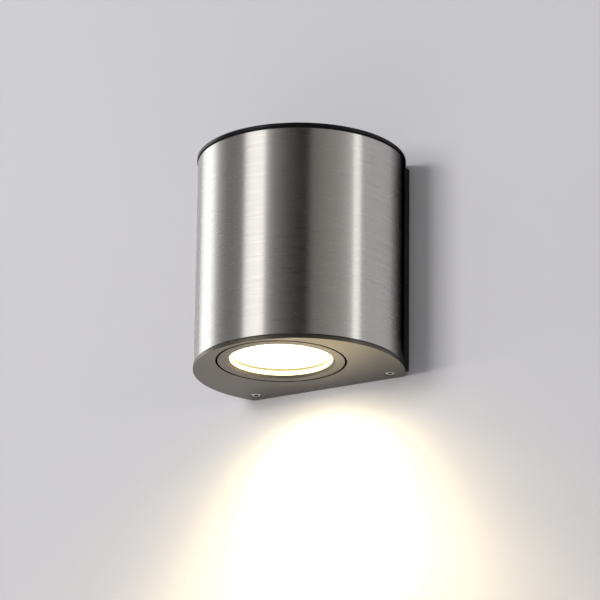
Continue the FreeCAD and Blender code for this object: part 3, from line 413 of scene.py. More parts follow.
def makeSlowFinish(name):
    look = slowSizes[name]
    made, tree, shader = newMaterial(name)
    grain = useGroup(tree, grainGroup, Grain=look["grain"], Patches=look["patches"])
    tree.links.new(mixColour(tree, grain["Slow"], rgba(look["colour"]), rgba(look["other"])),
                   shader.inputs["Base Color"])
    rough = mapRange(tree, grain["Slow"], *slowSizes["slowEdges"], *look["rough"])
    tree.links.new(rough, shader.inputs["Roughness"])
    shader.inputs["Transmission Weight"].default_value = look["transmission"]
    shader.inputs["IOR"].default_value = slowSizes["ior"]
    addBump(tree, shader, grain["Fine"], look["bump"], slowSizes["bumpDepth"])
    return made


stripeSizes = {
    "green": (0.05, 0.30, 0.06),
    "yellow": (0.78, 0.66, 0.05),
    "turn": (0.4, 0.3, 0.5),
    "scale": 90.0,
    "distortion": 0.6,
    "edges": (0.45, 0.55),
    "grain": 2600.0,
    "patches": 60.0,
    "slowEdges": (0.3, 0.7),
    "rough": (0.30, 0.42),
    "bump": 0.04,
    "bumpDepth": 0.0001,
}


def makeStripedLead():
    # green with yellow stripes across the lead at a slant
    look = stripeSizes
    made, tree, shader = newMaterial("greenYellowLead")
    place = addNode(tree, "ShaderNodeTexCoord").outputs["Object"]
    turned = addNode(tree, "ShaderNodeMapping", {"Vector": place, "Rotation": look["turn"]})
    wave = addNode(tree, "ShaderNodeTexWave", {"Vector": turned.outputs[0], "Scale": look["scale"],
                                               "Distortion": look["distortion"]})
    stripe = mapRange(tree, wave.outputs["Fac"], *look["edges"], 0.0, 1.0)
    tree.links.new(mixColour(tree, stripe, rgba(look["green"]), rgba(look["yellow"])),
                   shader.inputs["Base Color"])
    grain = useGroup(tree, grainGroup, Grain=look["grain"], Patches=look["patches"])
    rough = mapRange(tree, grain["Slow"], *look["slowEdges"], *look["rough"])
    tree.links.new(rough, shader.inputs["Roughness"])
    addBump(tree, shader, grain["Fine"], look["bump"], look["bumpDepth"])
    return made


def nodeFoot(node):
    # middle of a node's lower face
    low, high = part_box(node)
    return (low.x + high.x) / 2, (low.y + high.y) / 2, low.z


*lampCentre, bezelLevel = nodeFoot("bezel_ring")

paintedShadeSizes = {
    # where the shade is painted in the bezel's gap and the screw's socket: radius, half width and depth in
    # millimetres
    "anthracitePaint": (35.2, 0.62, 0.12, "bezel_ring"),
    "stainlessScrews": (0.0, 1.46, 0.12, "housing_screw_right"),
}
paintedShades = {finish: {"Radius": radius * mm, "Half Width": half * mm, "Level": depth * mm,
                  "Centre": nodeFoot(node)}
         for finish, (radius, half, depth, node) in paintedShadeSizes.items()}

materials = {name: makeFinish(name) for name in finishes}
materials["brushedStainless"] = makeBrushedStainless()
materials["frostedGlass"] = makeFrostedGlass()
materials["lampGlass"] = makeSlowFinish("lampGlass")
materials["siliconeAndRimShade"] = makeSlowFinish("siliconeAndRimShade")
materials["greenYellowLead"] = makeStripedLead()
print("finishes made:", len(materials))


# helpers for meshes

meshRules = {
    "mergeCad": 1e-6,
    "mergeTree": 1e-7,
    "flatAngle": 0.5,
    "sharpAngle": 50.0,
    "smoothAngle": 32.0,
    "softSmoothAngle": 40.0,
    "bevelSteps": 2,
    "profile": 0.5,
    "outlineSteps": 3,
    "turnedSides": 160,
}


def newPiece(name, mesh, finish, body, slotName, *nodes):
    piece = bpy.data.objects.new(name, mesh)
    scene.collection.objects.link(piece)
    piece.data.materials.clear()
    piece.data.materials.append(materials[finish])
    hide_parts(*nodes)
    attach(piece, body)
    return piece


def meshFrom(bm, name, smoothAngle=meshRules["smoothAngle"]):
    bmesh.ops.recalc_face_normals(bm, faces=bm.faces)
    mesh = bpy.data.meshes.new(name)
    bm.to_mesh(mesh)
    bm.free()
    for polygon in mesh.polygons:
        polygon.use_smooth = True
    mesh.set_sharp_from_angle(angle=math.radians(smoothAngle))
    return mesh


def weighted(mesh):
    # flat faces keep their own shading up to the rounded edges
    holder = bpy.data.objects.new("holder", mesh)
    scene.collection.objects.link(holder)
    modifier = holder.modifiers.new("weights", "WEIGHTED_NORMAL")
    modifier.mode = "FACE_AREA"
    modifier.keep_sharp = True
    graph = bpy.context.evaluated_depsgraph_get()
    result = bpy.data.meshes.new_from_object(holder.evaluated_get(graph), preserve_all_data_layers=True,
                                             depsgraph=graph)
    bpy.data.objects.remove(holder)
    return result


def roundedProfile(corners):
    # corners are (radius, height, rounding); gives the closed outline's points
    points = []
    count, steps = len(corners), meshRules["outlineSteps"]
    for index, (x, z, rounding) in enumerate(corners):
        here = Vector((x, z))
        before = Vector(corners[index - 1][:2])
        after = Vector(corners[(index + 1) % count][:2])
        if rounding <= 0.0:
            points.append(here)
            continue
        back = (before - here).normalized()
        ahead = (after - here).normalized()
        half = back.angle(ahead) / 2
        room = min((before - here).length, (after - here).length)
        reach = min(rounding / math.tan(half), room * 0.45)
        radius = reach * math.tan(half)
        centre = here + (back + ahead).normalized() * (radius / math.sin(half))
        start = here + back * reach - centre
        end = here + ahead * reach - centre
        turn = start.angle_signed(end)
        for step in range(steps + 1):
            angle = -turn * step / steps
            points.append(centre + Vector((start.x * math.cos(angle) - start.y * math.sin(angle),
                                           start.x * math.sin(angle) + start.y * math.cos(angle))))
    return points


def spin(bm, points, centre, level, count, closed):
    # turns an outline of (radius, height) about an upright line; ends on the line become poles
    rings = []
    for point in points:
        if point[0] < meshRules["mergeTree"]:
            rings.append([bm.verts.new((centre[0], centre[1], level + point[1]))])
            continue
        ring = []
        for step in range(count):
            angle = 2 * math.pi * step / count
            ring.append(bm.verts.new((centre[0] + point[0] * math.cos(angle),
                                      centre[1] + point[0] * math.sin(angle), level + point[1])))
        rings.append(ring)
    pairs = list(zip(rings, rings[1:]))
    if closed:
        pairs.append((rings[-1], rings[0]))
    for lower, upper in pairs:
        if len(lower) == 1 and len(upper) == 1:
            continue
        for step in range(count):
            follow = (step + 1) % count
            if len(lower) == 1:
                bm.faces.new((lower[0], upper[follow], upper[step]))
            elif len(upper) == 1:
                bm.faces.new((lower[step], lower[follow], upper[0]))
            else:
                bm.faces.new((lower[step], lower[follow], upper[follow], upper[step]))


def spunMesh(name, corners, centre, level):
    bm = bmesh.new()
    scaled = [(x * mm, z * mm, rounding * mm) for x, z, rounding in corners]
    closed = all(corner[0] > 0.0 for corner in corners)
    spin(bm, roundedProfile(scaled), centre, level, meshRules["turnedSides"], closed)
    return weighted(meshFrom(bm, name))


def softenedMesh(node, edge):
    # a merged copy of a CAD node with its sharp edges rounded by the given width
    rules = meshRules
    bm = bmesh.new()
    bm.from_mesh(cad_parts[node].data)
    bmesh.ops.remove_doubles(bm, verts=bm.verts, dist=rules["mergeCad"])
    bmesh.ops.dissolve_limit(bm, angle_limit=math.radians(rules["flatAngle"]), verts=bm.verts, edges=bm.edges)
    least = math.radians(rules["sharpAngle"])
    sharp = [e for e in bm.edges if e.is_manifold and e.calc_face_angle(0.0) > least]
    bmesh.ops.bevel(bm, geom=sharp, offset=edge, offset_type="OFFSET", segments=rules["bevelSteps"],
                    profile=rules["profile"], affect="EDGES", clamp_overlap=True)
    return weighted(meshFrom(bm, node + "Soft", rules["softSmoothAngle"]))


# what the two Geometry Nodes trees begin and end with; treeMesh sets every input

def newShape(name, sizes, counts=(), places=()):
    sockets = [(label, "NodeSocketFloat", None) for label in sizes]
    sockets += [(label, "NodeSocketInt", None) for label in counts]
    sockets += [(label, "NodeSocketVector", None) for label in places]
    sockets.append(("Finish", "NodeSocketMaterial", None))
    return newGroup(name, "GeometryNodeTree", sockets, [("Geometry", "NodeSocketGeometry")])


def endShape(tree, geometry, finish, put):
    real = addNode(tree, "GeometryNodeRealizeInstances", {0: geometry})
    dressed = addNode(tree, "GeometryNodeSetMaterial", {"Geometry": real.outputs[0], "Material": finish})
    tree.links.new(dressed.outputs[0], put["Geometry"])
    return tree


def shifted(tree, geometry, **along):
    move = addNode(tree, "ShaderNodeCombineXYZ", along)
    moved = addNode(tree, "GeometryNodeTransform", {"Geometry": geometry, "Translation": move.outputs[0]})
    return moved.outputs[0]


# the sleeve: sheet rolled to part of a circle

lowCorner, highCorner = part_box("sleeve")

sleeveSizes = {
    "radius": 57.5 * mm,
    "wall": 1.0 * mm,
    "height": highCorner.z - lowCorner.z,
    "centreY": -33.7 * mm,
    "rearY": highCorner.y,
    "middleZ": (highCorner.z + lowCorner.z) / 2,
    "edge": 0.2 * mm,
    "edgeSteps": 3,
    "segments": 220,
}


def makeSleeveTree():
    sizes = ("Radius", "Wall", "Height", "Centre Y", "Rear Y", "Middle Z", "Edge")
    tree, given, put = newShape("rolledSleeve", sizes, ("Segments", "Edge Steps"))
    rear = calc(tree, "SUBTRACT", given["Rear Y"], given["Centre Y"])
    past = calc(tree, "ARCSINE", calc(tree, "DIVIDE", rear, given["Radius"]))
    start = calc(tree, "SUBTRACT", math.pi, past)
    sweep = calc(tree, "MULTIPLY_ADD", past, 2.0, math.pi)
    middle = calc(tree, "MULTIPLY_ADD", given["Wall"], -0.5, given["Radius"])
    arc = addNode(tree, "GeometryNodeCurveArc", {"Resolution": given["Segments"], "Radius": middle,
                                                 "Start Angle": start, "Sweep Angle": sweep}, mode="RADIUS")
    profile = addNode(tree, "GeometryNodeCurvePrimitiveQuadrilateral", {"Width": given["Wall"],
                                                                        "Height": given["Height"]})
    rounded = addNode(tree, "GeometryNodeFilletCurve", {
        "Curve": profile.outputs[0], "Count": given["Edge Steps"], "Radius": given["Edge"]}, mode="POLY")
    swept = addNode(tree, "GeometryNodeCurveToMesh", {
        "Curve": arc.outputs[0], "Profile Curve": rounded.outputs[0], "Fill Caps": True})
    # UV: along the bend and up, both in metres
    place = addNode(tree, "ShaderNodeSeparateXYZ", {0: addNode(tree, "GeometryNodeInputPosition").outputs[0]})
    angle = calc(tree, "ARCTAN2", place.outputs[0], calc(tree, "MULTIPLY", place.outputs[1], -1.0))
    along = calc(tree, "MULTIPLY", angle, given["Radius"])
    flat = addNode(tree, "ShaderNodeCombineXYZ", {0: along, 1: place.outputs[2]})
    stored = addNode(tree, "GeometryNodeStoreNamedAttribute",
                     {"Geometry": swept.outputs[0], "Name": "UVMap"}, data_type="FLOAT2", domain="CORNER")
    valueSocket = next(s for s in stored.inputs if s.name == "Value" and s.enabled)
    tree.links.new(flat.outputs[0], valueSocket)
    moved = shifted(tree, stored.outputs[0], Y=given["Centre Y"], Z=given["Middle Z"])
    return endShape(tree, moved, given["Finish"], put)


def treeMesh(tree, name, values):
    # runs a Geometry Nodes tree on an empty mesh and returns the plain mesh
    holder = bpy.data.objects.new(name, bpy.data.meshes.new(name + "Start"))
    scene.collection.objects.link(holder)
    modifier = holder.modifiers.new("build", "NODES")
    modifier.node_group = tree
    for item in tree.interface.items_tree:
        if item.in_out == "INPUT" and item.name in values:
            modifier[item.identifier] = values[item.name]
    graph = bpy.context.evaluated_depsgraph_get()
    result = bpy.data.meshes.new_from_object(holder.evaluated_get(graph), preserve_all_data_layers=True,
                                             depsgraph=graph)
    holder.modifiers.remove(modifier)
    bpy.data.objects.remove(holder)
    return result


def outward(mesh, smoothAngle=meshRules["smoothAngle"]):
    bm = bmesh.new()
    bm.from_mesh(mesh)
    bmesh.ops.remove_doubles(bm, verts=bm.verts, dist=meshRules["mergeTree"])
    return weighted(meshFrom(bm, mesh.name, smoothAngle))


def makeSleeve():
    s = sleeveSizes
    values = {"Radius": s["radius"], "Wall": s["wall"], "Height": s["height"], "Centre Y": s["centreY"],
              "Rear Y": s["rearY"], "Middle Z": s["middleZ"], "Edge": s["edge"], "Segments": s["segments"],
              "Edge Steps": s["edgeSteps"], "Finish": materials["brushedStainless"]}
    mesh = outward(treeMesh(makeSleeveTree(), "sleeveTube", values))
    newPiece("sleeveTube", mesh, "brushedStainless", "housing", "brushed_stainless", "sleeve")


makeSleeve()
print("sleeve rolled")


# bezel, glass and gasket, turned about the lamp's axis

bezelSizes = {
    # outline from the opening's edge: radius, height and rounding in millimetres
    "ring": [(29.5, 0.0, 0.25), (34.65, 0.0, 0.3), (34.65, 1.5, 0.15), (31.2, 1.5, 0.1), (31.2, 3.0, 0.1),
             (29.9, 3.0, 0.1), (29.9, 4.6, 0.1), (31.2, 4.6, 0.1), (31.2, 11.0, 0.3), (29.0, 11.0, 0.2),
             (29.0, 9.4, 0.05), (29.5, 9.4, 0.05), (29.5, 8.3, 0.05), (29.0, 8.3, 0.05), (29.0, 3.8, 0.0),
             (28.0, 3.8, 0.1), (28.0, 1.3, 0.1)],
    "glass": [(0.0, 5.2, 0.0), (28.9, 5.2, 0.35), (28.9, 8.2, 0.35), (0.0, 8.2, 0.0)],
    "gasket": [(28.0, 3.8, 0.2), (28.9, 3.8, 0.12), (28.9, 5.2, 0.12), (28.0, 5.2, 0.2)],
    "boreReach": (1.35, 3.75),
    "boreRadius": 28.1,
}


def paintLitBore(piece):
    # painted light: the opening's wall gets a brighter finish than the ring, for the glass's glow falling on
    # it
    piece.data.materials.append(materials["paintedLitBore"])
    low, high = (bezelLevel + value * mm for value in bezelSizes["boreReach"])
    for polygon in piece.data.polygons:
        away = math.hypot(polygon.center.x - lampCentre[0], polygon.center.y - lampCentre[1])
        if low < polygon.center.z < high and away < bezelSizes["boreRadius"] * mm:
            polygon.material_index = 1


def makeBezel():
    for name, outline, finish, slotName, node in (
        ("bezelRing", "ring", "anthracitePaint", "anthracite_paint", "bezel_ring"),
        ("lensGlass", "glass", "frostedGlass", "frosted_glass", "lens_glass"),
        ("lensGasket", "gasket", "siliconeAndRimShade", "clear_silicone", "lens_gasket"),
    ):
        mesh = spunMesh(name, bezelSizes[outline], lampCentre, bezelLevel)
        piece = newPiece(name, mesh, finish, "bezel", slotName, node)
        if name == "bezelRing":
            paintLitBore(piece)


makeBezel()
print("bezel and glass turned")


# the two housing screws: socket heads with a knurled rim and a cut thread

screwSizes = {
    "headRadius": 2.75 * mm,
    "headHeight": 3.0 * mm,
    "chamfer": 0.28 * mm,
    "acrossFlats": 2.5 * mm,
    "socketDepth": 1.6 * mm,
    "threadRadius": 1.5 * mm,
    "threadDepth": 0.26 * mm,
    "pitch": 0.5 * mm,
    "knurls": 30,
    "knurlDepth": 0.09 * mm,
    "pointsPerKnurl": 8,
    "shankSides": 48,
    "turnSteps": 40,
    "smoothAngle": 25.0,
}


def makeScrewTree():
    sizes = ("Head Radius", "Head Height", "Chamfer", "Across Flats", "Socket Depth", "Thread Radius",
             "Thread Depth", "Thread Length", "Pitch", "Knurl Depth")
    counts = ("Knurls", "Points Per Knurl", "Shank Sides", "Turn Steps")
    tree, given, put = newShape("socketScrew", sizes, counts, ("Place",))
    # head: a knurled outline, filled, then pushed up in three steps so that both rims are chamfered
    points = calc(tree, "MULTIPLY", given["Knurls"], given["Points Per Knurl"])
    smallRadius = calc(tree, "SUBTRACT", given["Head Radius"], given["Chamfer"])
    circle = addNode(tree, "GeometryNodeCurvePrimitiveCircle", {"Resolution": points, "Radius": smallRadius},
                     mode="RADIUS")
    place = addNode(tree, "GeometryNodeInputPosition").outputs[0]
    split = addNode(tree, "ShaderNodeSeparateXYZ", {0: place})
    angle = calc(tree, "ARCTAN2", split.outputs[1], split.outputs[0])
    wave = calc(tree, "COSINE", calc(tree, "MULTIPLY", angle, given["Knurls"]))
    dip = calc(tree, "MULTIPLY", calc(tree, "MULTIPLY_ADD", wave, 0.5, -0.5), given["Knurl Depth"])
    stretch = calc(tree, "ADD", 1.0, calc(tree, "DIVIDE", dip, smallRadius))
    spread = addNode(tree, "ShaderNodeVectorMath", {0: place, "Scale": stretch}, operation="SCALE")
    knurled = addNode(tree, "GeometryNodeSetPosition", {"Geometry": circle.outputs[0],
                                                        "Position": spread.outputs[0]})
    filled = addNode(tree, "GeometryNodeFillCurve", {0: knurled.outputs[0]}, mode="NGONS")
    grow = calc(tree, "DIVIDE", given["Head Radius"], smallRadius)
    shrink = calc(tree, "DIVIDE", smallRadius, given["Head Radius"])
    middle = calc(tree, "MULTIPLY_ADD", given["Chamfer"], -2.0, given["Head Height"])
    shape, top = filled.outputs[0], None
    for rise, scale in ((given["Chamfer"], grow), (middle, None), (given["Chamfer"], shrink)):
        upward = addNode(tree, "ShaderNodeCombineXYZ", {2: rise}).outputs[0]
        inputs = {"Mesh": shape, "Offset": upward, "Offset Scale": 1.0, "Individual": False}
        if top is not None:
            inputs["Selection"] = top
        pushed = addNode(tree, "GeometryNodeExtrudeMesh", inputs, mode="FACES")
        shape, top = pushed.outputs["Mesh"], pushed.outputs["Top"]
        if scale is not None:
            scaled = addNode(tree, "GeometryNodeScaleElements", {"Geometry": shape, "Selection": top,
                                                                 "Scale": scale}, domain="FACE")
            shape = scaled.outputs[0]
    # the first push leaves the head open below, so the outline's own face closes it
    closing = addNode(tree, "GeometryNodeFlipFaces", {0: filled.outputs[0]})
    head = addNode(tree, "GeometryNodeJoinGeometry")
    tree.links.new(shape, head.inputs[0])
    tree.links.new(closing.outputs[0], head.inputs[0])
    whole = addNode(tree, "GeometryNodeMergeByDistance", {"Geometry": head.outputs[0],
                                                          "Distance": meshRules["mergeTree"]})
    # socket: a six-sided cutter through the head's lower face
    corner = calc(tree, "DIVIDE", given["Across Flats"], 2 * math.cos(math.pi / 6))
    depth = calc(tree, "MULTIPLY", given["Socket Depth"], 2.0)
    cutter = addNode(tree, "GeometryNodeMeshCylinder", {"Vertices": 6, "Radius": corner, "Depth": depth})
    cut = addNode(tree, "GeometryNodeMeshBoolean", {"Mesh 1": whole.outputs[0]}, operation="DIFFERENCE",
                  solver="EXACT")
    tree.links.new(cutter.outputs["Mesh"], cut.inputs["Mesh 2"])
    # shank with a wound thread
    core = calc(tree, "SUBTRACT", given["Thread Radius"], given["Thread Depth"])
    shank = addNode(tree, "GeometryNodeMeshCylinder", {"Vertices": given["Shank Sides"], "Radius": core,
                                                       "Depth": given["Thread Length"]})
    half = calc(tree, "MULTIPLY_ADD", given["Thread Length"], 0.5, given["Head Height"])
    run = calc(tree, "MULTIPLY_ADD", given["Pitch"], -2.0, given["Thread Length"])
    wound = addNode(tree, "GeometryNodeCurveSpiral", {
        "Resolution": given["Turn Steps"], "Rotations": calc(tree, "DIVIDE", run, given["Pitch"]),
        "Start Radius": core, "End Radius": core, "Height": run})
    crest = addNode(tree, "GeometryNodeCurvePrimitiveCircle", {"Resolution": 3,
                                                               "Radius": given["Thread Depth"]}, mode="RADIUS")
    ridge = addNode(tree, "GeometryNodeCurveToMesh", {
        "Curve": wound.outputs[0], "Profile Curve": crest.outputs[0], "Fill Caps": True})
    start = calc(tree, "ADD", given["Head Height"], given["Pitch"])
    joined = addNode(tree, "GeometryNodeJoinGeometry")
    for part in (cut.outputs[0], shifted(tree, shank.outputs["Mesh"], Z=half),
                 shifted(tree, ridge.outputs[0], Z=start)):
        tree.links.new(part, joined.inputs[0])
    # placed as an instance, so that the same tree serves both screws
    point = addNode(tree, "GeometryNodePoints", {"Count": 1, "Position": given["Place"]})
    copies = addNode(tree, "GeometryNodeInstanceOnPoints", {"Points": point.outputs[0],
                                                            "Instance": joined.outputs[0]})
    return endShape(tree, copies.outputs[0], given["Finish"], put)


def makeScrews():
    s = screwSizes
    tree = makeScrewTree()
    for name, node, body in (("leftScrew", "housing_screw_left", "left_screw"),
                             ("rightScrew", "housing_screw_right", "right_screw")):
        low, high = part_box(node)
        values = {"Place": nodeFoot(node), "Head Radius": s["headRadius"], "Head Height": s["headHeight"],
                  "Chamfer": s["chamfer"], "Across Flats": s["acrossFlats"], "Socket Depth": s["socketDepth"],
                  "Thread Radius": s["threadRadius"], "Thread Depth": s["threadDepth"],
                  "Thread Length": high.z - low.z - s["headHeight"], "Pitch": s["pitch"],
                  "Knurls": s["knurls"], "Knurl Depth": s["knurlDepth"],
                  "Points Per Knurl": s["pointsPerKnurl"], "Shank Sides": s["shankSides"],
                  "Turn Steps": s["turnSteps"], "Finish": materials["stainlessScrews"]}
        mesh = outward(treeMesh(tree, name, values), s["smoothAngle"])
        newPiece(name, mesh, "stainlessScrews", body, "stainless_screws", node)
        print(name, len(mesh.polygons), "faces")


makeScrews()


# cast, moulded and bent pieces: the CAD shape with its edges rounded

softened = {
    # node: rounding in millimetres, finish, body, slot
    "top_cap": (0.2, "blackPaint", "housing", "black_paint"),
    "bottom_plate": (0.2, "anthracitePaint", "housing", "anthracite_paint"),
    "wall_base": (0.2, "basePaint", "housing", "base_paint"),
    "top_gasket": (0.1, "blackRubber", "housing", "black_rubber"),
    "bottom_gasket": (0.1, "blackRubber", "housing", "black_rubber"),
    "cable_grommet": (0.3, "blackRubber", "housing", "black_rubber"),
    "wall_seal": (0.2, "blackRubber", "housing", "black_rubber"),
    "holder_bridge": (0.15, "zincSteel", "housing", "zinc_steel"),
    "side_bracket_left": (0.15, "zincSteel", "housing", "zinc_steel"),
    "side_bracket_right": (0.15, "zincSteel", "housing", "zinc_steel"),
    "lamp_holder": (0.25, "whiteCeramic", "housing", "white_ceramic"),
    "terminal_block": (0.2, "whitePlastic", "housing", "white_plastic"),
    "lamp_base": (0.4, "whitePlastic", "lamp", "white_plastic"),
}


def camelName(node):
    first, *rest = node.split("_")
    return first + "".join(word.capitalize() for word in rest) + "Piece"


def makeSoftened():
    for node, (edge, finish, body, slotName) in softened.items():
        mesh = softenedMesh(node, edge * mm)
        newPiece(camelName(node), mesh, finish, body, slotName, node)


makeSoftened()
print("edges rounded on", len(softened), "pieces")


# pieces whose CAD shape is right: only their finish changes

carried = {
    "bezel_o_ring": "blackRubber",
    "glass_retainer": "springSteel",
    "lamp_body": "lampHousing",
    "lamp_lens": "lampGlass",
    "lamp_pins": "nickel",
    "holder_contacts": "brassParts",
    "bridge_screws": "zincSteel",
    "holder_screws": "zincSteel",
    "bracket_screws": "zincSteel",
    "terminal_clamps": "brassParts",
    "terminal_screws": "zincSteel",
    "terminal_mount_screw": "zincSteel",
    "earth_tag": "tinnedCopper",
    "earth_screw": "zincSteel",
    "lead_live": "brownLead",
    "lead_neutral": "blueLead",
    "lead_earth": "greenYellowLead",
}


def dressCarried():
    for node, finish in carried.items():
        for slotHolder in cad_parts[node].material_slots:
            slotHolder.material = materials[finish]


dressCarried()
print("finishes put on", len(carried), "carried pieces")


# wall, floor and lights

stageSizes = {
    "wallColour": (0.585, 0.580, 0.600),
    "shade": 0.97,
    "rough": 0.85,
    "specular": 0.2,
    "grain": 700.0,
    "patches": 5.0,
    "bump": 0.1,
    "bumpDepth": 0.0002,
    "wallGap": 0.05 * mm,
    "openingInset": 3.0 * mm,
    # painted shade: mirrored in the sleeve, the wall beside it is dark from the first X to the second, above
    # this height, as a contact shadow
    "darkStart": 0.048,
    "darkBeside": (0.058, 0.085),
    "darkFrom": -0.058,
    "halfWidth": 3.0,
    "top": 2.0,
    "floor": -1.3,
    "depth": 4.0,
}


def makeWallMaterial(name, seeThroughBack):
    look = stageSizes
    made, tree, shader = newMaterial(name)
    grain = useGroup(tree, grainGroup, Grain=look["grain"], Patches=look["patches"])
    colour = look["wallColour"]
    darker = tuple(c * look["shade"] for c in colour)
    tree.links.new(mixColour(tree, grain["Slow"], rgba(colour), rgba(darker)), shader.inputs["Base Color"])
    shader.inputs["Roughness"].default_value = look["rough"]
    shader.inputs["Specular IOR Level"].default_value = look["specular"]
    addBump(tree, shader, grain["Fine"], look["bump"], look["bumpDepth"])
    if seeThroughBack:
        # from behind, the wall doesn't hide the light's back
        rays = addNode(tree, "ShaderNodeLightPath")
        back = addNode(tree, "ShaderNodeNewGeometry")
        share = calc(tree, "MULTIPLY", rays.outputs["Is Camera Ray"], back.outputs["Backfacing"])
        place = addNode(tree, "ShaderNodeTexCoord").outputs["Object"]
        aside = addNode(tree, "ShaderNodeSeparateXYZ", {0: place})
        # painted shade: black for glossy rays on the wall beside the light, a contact shadow for the sleeve to
        # mirror
        glossyPaintedShade = mapRange(tree, aside.outputs[0], *look["darkBeside"], 1.0, 0.0)
        for part in (calc(tree, "GREATER_THAN", aside.outputs[0], look["darkStart"]),
                     calc(tree, "GREATER_THAN", aside.outputs[2], look["darkFrom"]),
                     rays.outputs["Is Glossy Ray"]):
            glossyPaintedShade = calc(tree, "MULTIPLY", glossyPaintedShade, part)
        dark = addNode(tree, "ShaderNodeBsdfDiffuse", {0: (0.0, 0.0, 0.0, 1.0)})
        room = addNode(tree, "ShaderNodeMixShader", {0: glossyPaintedShade, 1: shader.outputs[0], 2: dark.outputs[0]})
        clear = addNode(tree, "ShaderNodeBsdfTransparent")
        mixed = addNode(tree, "ShaderNodeMixShader", {0: share, 1: room.outputs[0], 2: clear.outputs[0]})
        out = next(n for n in tree.nodes if n.type == "OUTPUT_MATERIAL")
        tree.links.new(mixed.outputs[0], out.inputs[0])
    return made


def makeStage():
    s = stageSizes
    low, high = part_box("wall_base")
    inset = s["openingInset"]
    xs = (-s["halfWidth"], low.x + inset, high.x - inset, s["halfWidth"])
    zs = (s["floor"], low.z + inset, high.z - inset, s["top"])
    bm = bmesh.new()
    grid = [[bm.verts.new((x, s["wallGap"], z)) for x in xs] for z in zs]
    for row in range(3):
        for column in range(3):
            if row == 1 and column == 1:
                continue
            bm.faces.new((grid[row][column], grid[row][column + 1], grid[row + 1][column + 1],
                          grid[row + 1][column]))
    mesh = bpy.data.meshes.new("roomWall")
    bm.to_mesh(mesh)
    bm.free()
    mesh.materials.append(makeWallMaterial("roomWallPaint", True))
    wall = bpy.data.objects.new("roomWall", mesh)
    scene.collection.objects.link(wall)
    bm = bmesh.new()
    corners = ((-1, s["wallGap"]), (-1, -s["depth"]), (1, -s["depth"]), (1, s["wallGap"]))
    bm.faces.new([bm.verts.new((side * s["halfWidth"], y, s["floor"])) for side, y in corners])
    mesh = bpy.data.meshes.new("roomFloor")
    bm.to_mesh(mesh)
    bm.free()
    mesh.materials.append(makeWallMaterial("roomFloorPaint", False))
    floor = bpy.data.objects.new("roomFloor", mesh)
    scene.collection.objects.link(floor)


makeStage()

# where each light stands, what it looks at, its size (width, height) and power in watts
lightSizes = {
    "key": {"place": (-0.54, -2.05, 0.10), "aim": (0.0, 0.0, 0.0), "size": (0.85, 0.70), "power": 30.5,
            "colour": (1.0, 0.99, 0.98), "glossy": False},
    "leftCard": {"place": (-0.26, -0.045, 0.10), "aim": (0.2, -0.045, 0.10), "size": (0.085, 1.2),
                 "power": 0.42, "colour": (1.0, 1.0, 0.99), "diffuse": False},
    "rightCard": {"place": (0.42, -0.038, 0.10), "aim": (0.0, -0.038, 0.10), "size": (0.060, 1.2),
                  "power": 0.32, "colour": (1.0, 0.98, 0.95), "diffuse": False},
    "backFill": {"place": (0.3, 1.4, 0.5), "aim": (0.0, 0.0, 0.0), "size": (1.0, 1.0), "power": 14.0,
                 "colour": (1.0, 1.0, 1.0)},
}

# the lamp's light below the glass: beams with their spread in degrees and power in watts, and a small
# glow under the bezel
beamSizes = {
    "level": 3.6 * mm,
    "size": 0.050,
    "colour": (1.0, 0.78, 0.36),
    "beams": {"wideBeam": (140.0, 0.20), "midBeam": (110.0, 0.50)},
    "glowLevel": -3.0 * mm,
    "glowRadius": 3.0 * mm,
    "glowPower": 0.034,
    "glowColour": (1.0, 0.93, 0.83),
}


def pointAt(place, aim):
    way = Vector(aim) - Vector(place)
    return Matrix.Translation(place) @ way.to_track_quat("-Z", "Y").to_matrix().to_4x4()


def addLight(name, kind, place, power, colour, **settings):
    data = bpy.data.lights.new(name, kind)
    data.energy = power
    data.color = colour
    for key, value in settings.items():
        setattr(data, key, value)
    lamp = bpy.data.objects.new(name, data)
    lamp.matrix_world = place
    lamp.visible_camera = False
    scene.collection.objects.link(lamp)
    return lamp


def makeLights():
    for name, s in lightSizes.items():
        wide, tall = s["size"]
        lamp = addLight(name, "AREA", pointAt(s["place"], s["aim"]), s["power"], s["colour"],
                        shape="RECTANGLE", size=wide, size_y=tall)
        lamp.visible_glossy = s.get("glossy", True)
        lamp.visible_diffuse = s.get("diffuse", True)
    s = beamSizes
    level = Matrix.Translation((*lampCentre, bezelLevel + s["level"]))
    lamps = [addLight(name, "AREA", level, power, s["colour"], shape="DISK", size=s["size"],
                      spread=math.radians(spread)) for name, (spread, power) in s["beams"].items()]
    level = Matrix.Translation((*lampCentre, bezelLevel + s["glowLevel"]))
    lamps.append(addLight("underGlow", "POINT", level, s["glowPower"], s["glowColour"],
                          shadow_soft_size=s["glowRadius"]))
    for lamp in lamps:
        lamp.visible_glossy = False


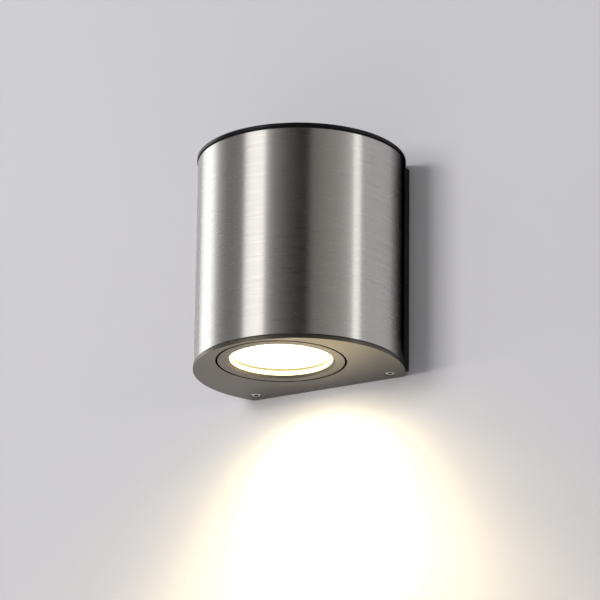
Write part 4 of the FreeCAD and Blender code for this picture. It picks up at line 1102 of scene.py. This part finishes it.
# what stands round the light: degrees from straight out, + to the right, and its brightness
roomSizes = {
    "plain": 0.42,
    "around": [(-82, 1.6, 1.0), (-75, 0.30, 1.0), (-58, 0.17, 1.0), (-46, 0.26, 1.0), (-35.5, 0.40, 1.0),
               (-33.5, 1.92, 0.97), (-12.2, 1.92, 0.95), (-9.2, 0.36, 1.0), (0, 0.20, 1.0), (14, 0.08, 0.99),
               (28, 0.012, 0.97), (36, 0.012, 0.92), (43, 0.20, 0.90), (62, 0.34, 0.92), (84, 0.46, 0.97)],
    "background": 0.9,
    "backgroundColour": (0.98, 0.98, 1.0),
}


def makeWorld():
    world = bpy.data.worlds.new("room")
    scene.world = world
    world.use_nodes = True
    tree = world.node_tree
    tree.nodes.clear()
    around = addNode(tree, "ShaderNodeTexCoord").outputs["Generated"]
    way = addNode(tree, "ShaderNodeSeparateXYZ", {0: around})
    angle = calc(tree, "ARCTAN2", way.outputs[0], calc(tree, "MULTIPLY", way.outputs[1], -1.0))
    share = mapRange(tree, angle, -math.pi / 2, math.pi / 2, 0.0, 1.0)
    ramp = addNode(tree, "ShaderNodeValToRGB", {0: share})
    stops = ramp.color_ramp.elements
    while len(stops) > 1:
        stops.remove(stops[-1])
    top = max(level for _, level, _ in roomSizes["around"])
    for index, (degrees, level, warmth) in enumerate(roomSizes["around"]):
        position = (degrees + 90.0) / 180.0
        stop = stops[0] if index == 0 else stops.new(position)
        stop.position = position
        value = level / top
        stop.color = (value, value * (1 + warmth) / 2, value * warmth, 1.0)
    rays = addNode(tree, "ShaderNodeLightPath")
    plain = addNode(tree, "ShaderNodeBackground", {0: (1.0, 1.0, 1.0, 1.0), 1: roomSizes["plain"]})
    banded = addNode(tree, "ShaderNodeBackground", {0: ramp.outputs[0], 1: top})
    pale = addNode(tree, "ShaderNodeBackground", {0: rgba(roomSizes["backgroundColour"]),
                                                   1: roomSizes["background"]})
    first = addNode(tree, "ShaderNodeMixShader", {0: rays.outputs["Is Glossy Ray"], 1: plain.outputs[0],
                                                  2: banded.outputs[0]})
    seen = calc(tree, "MAXIMUM", rays.outputs["Is Camera Ray"], rays.outputs["Is Transmission Ray"])
    second = addNode(tree, "ShaderNodeMixShader", {0: seen, 1: first.outputs[0], 2: pale.outputs[0]})
    out = addNode(tree, "ShaderNodeOutputWorld")
    tree.links.new(second.outputs[0], out.inputs[0])


makeLights()
makeWorld()
scene.view_settings.view_transform = "Standard"
print("room and lights placed")
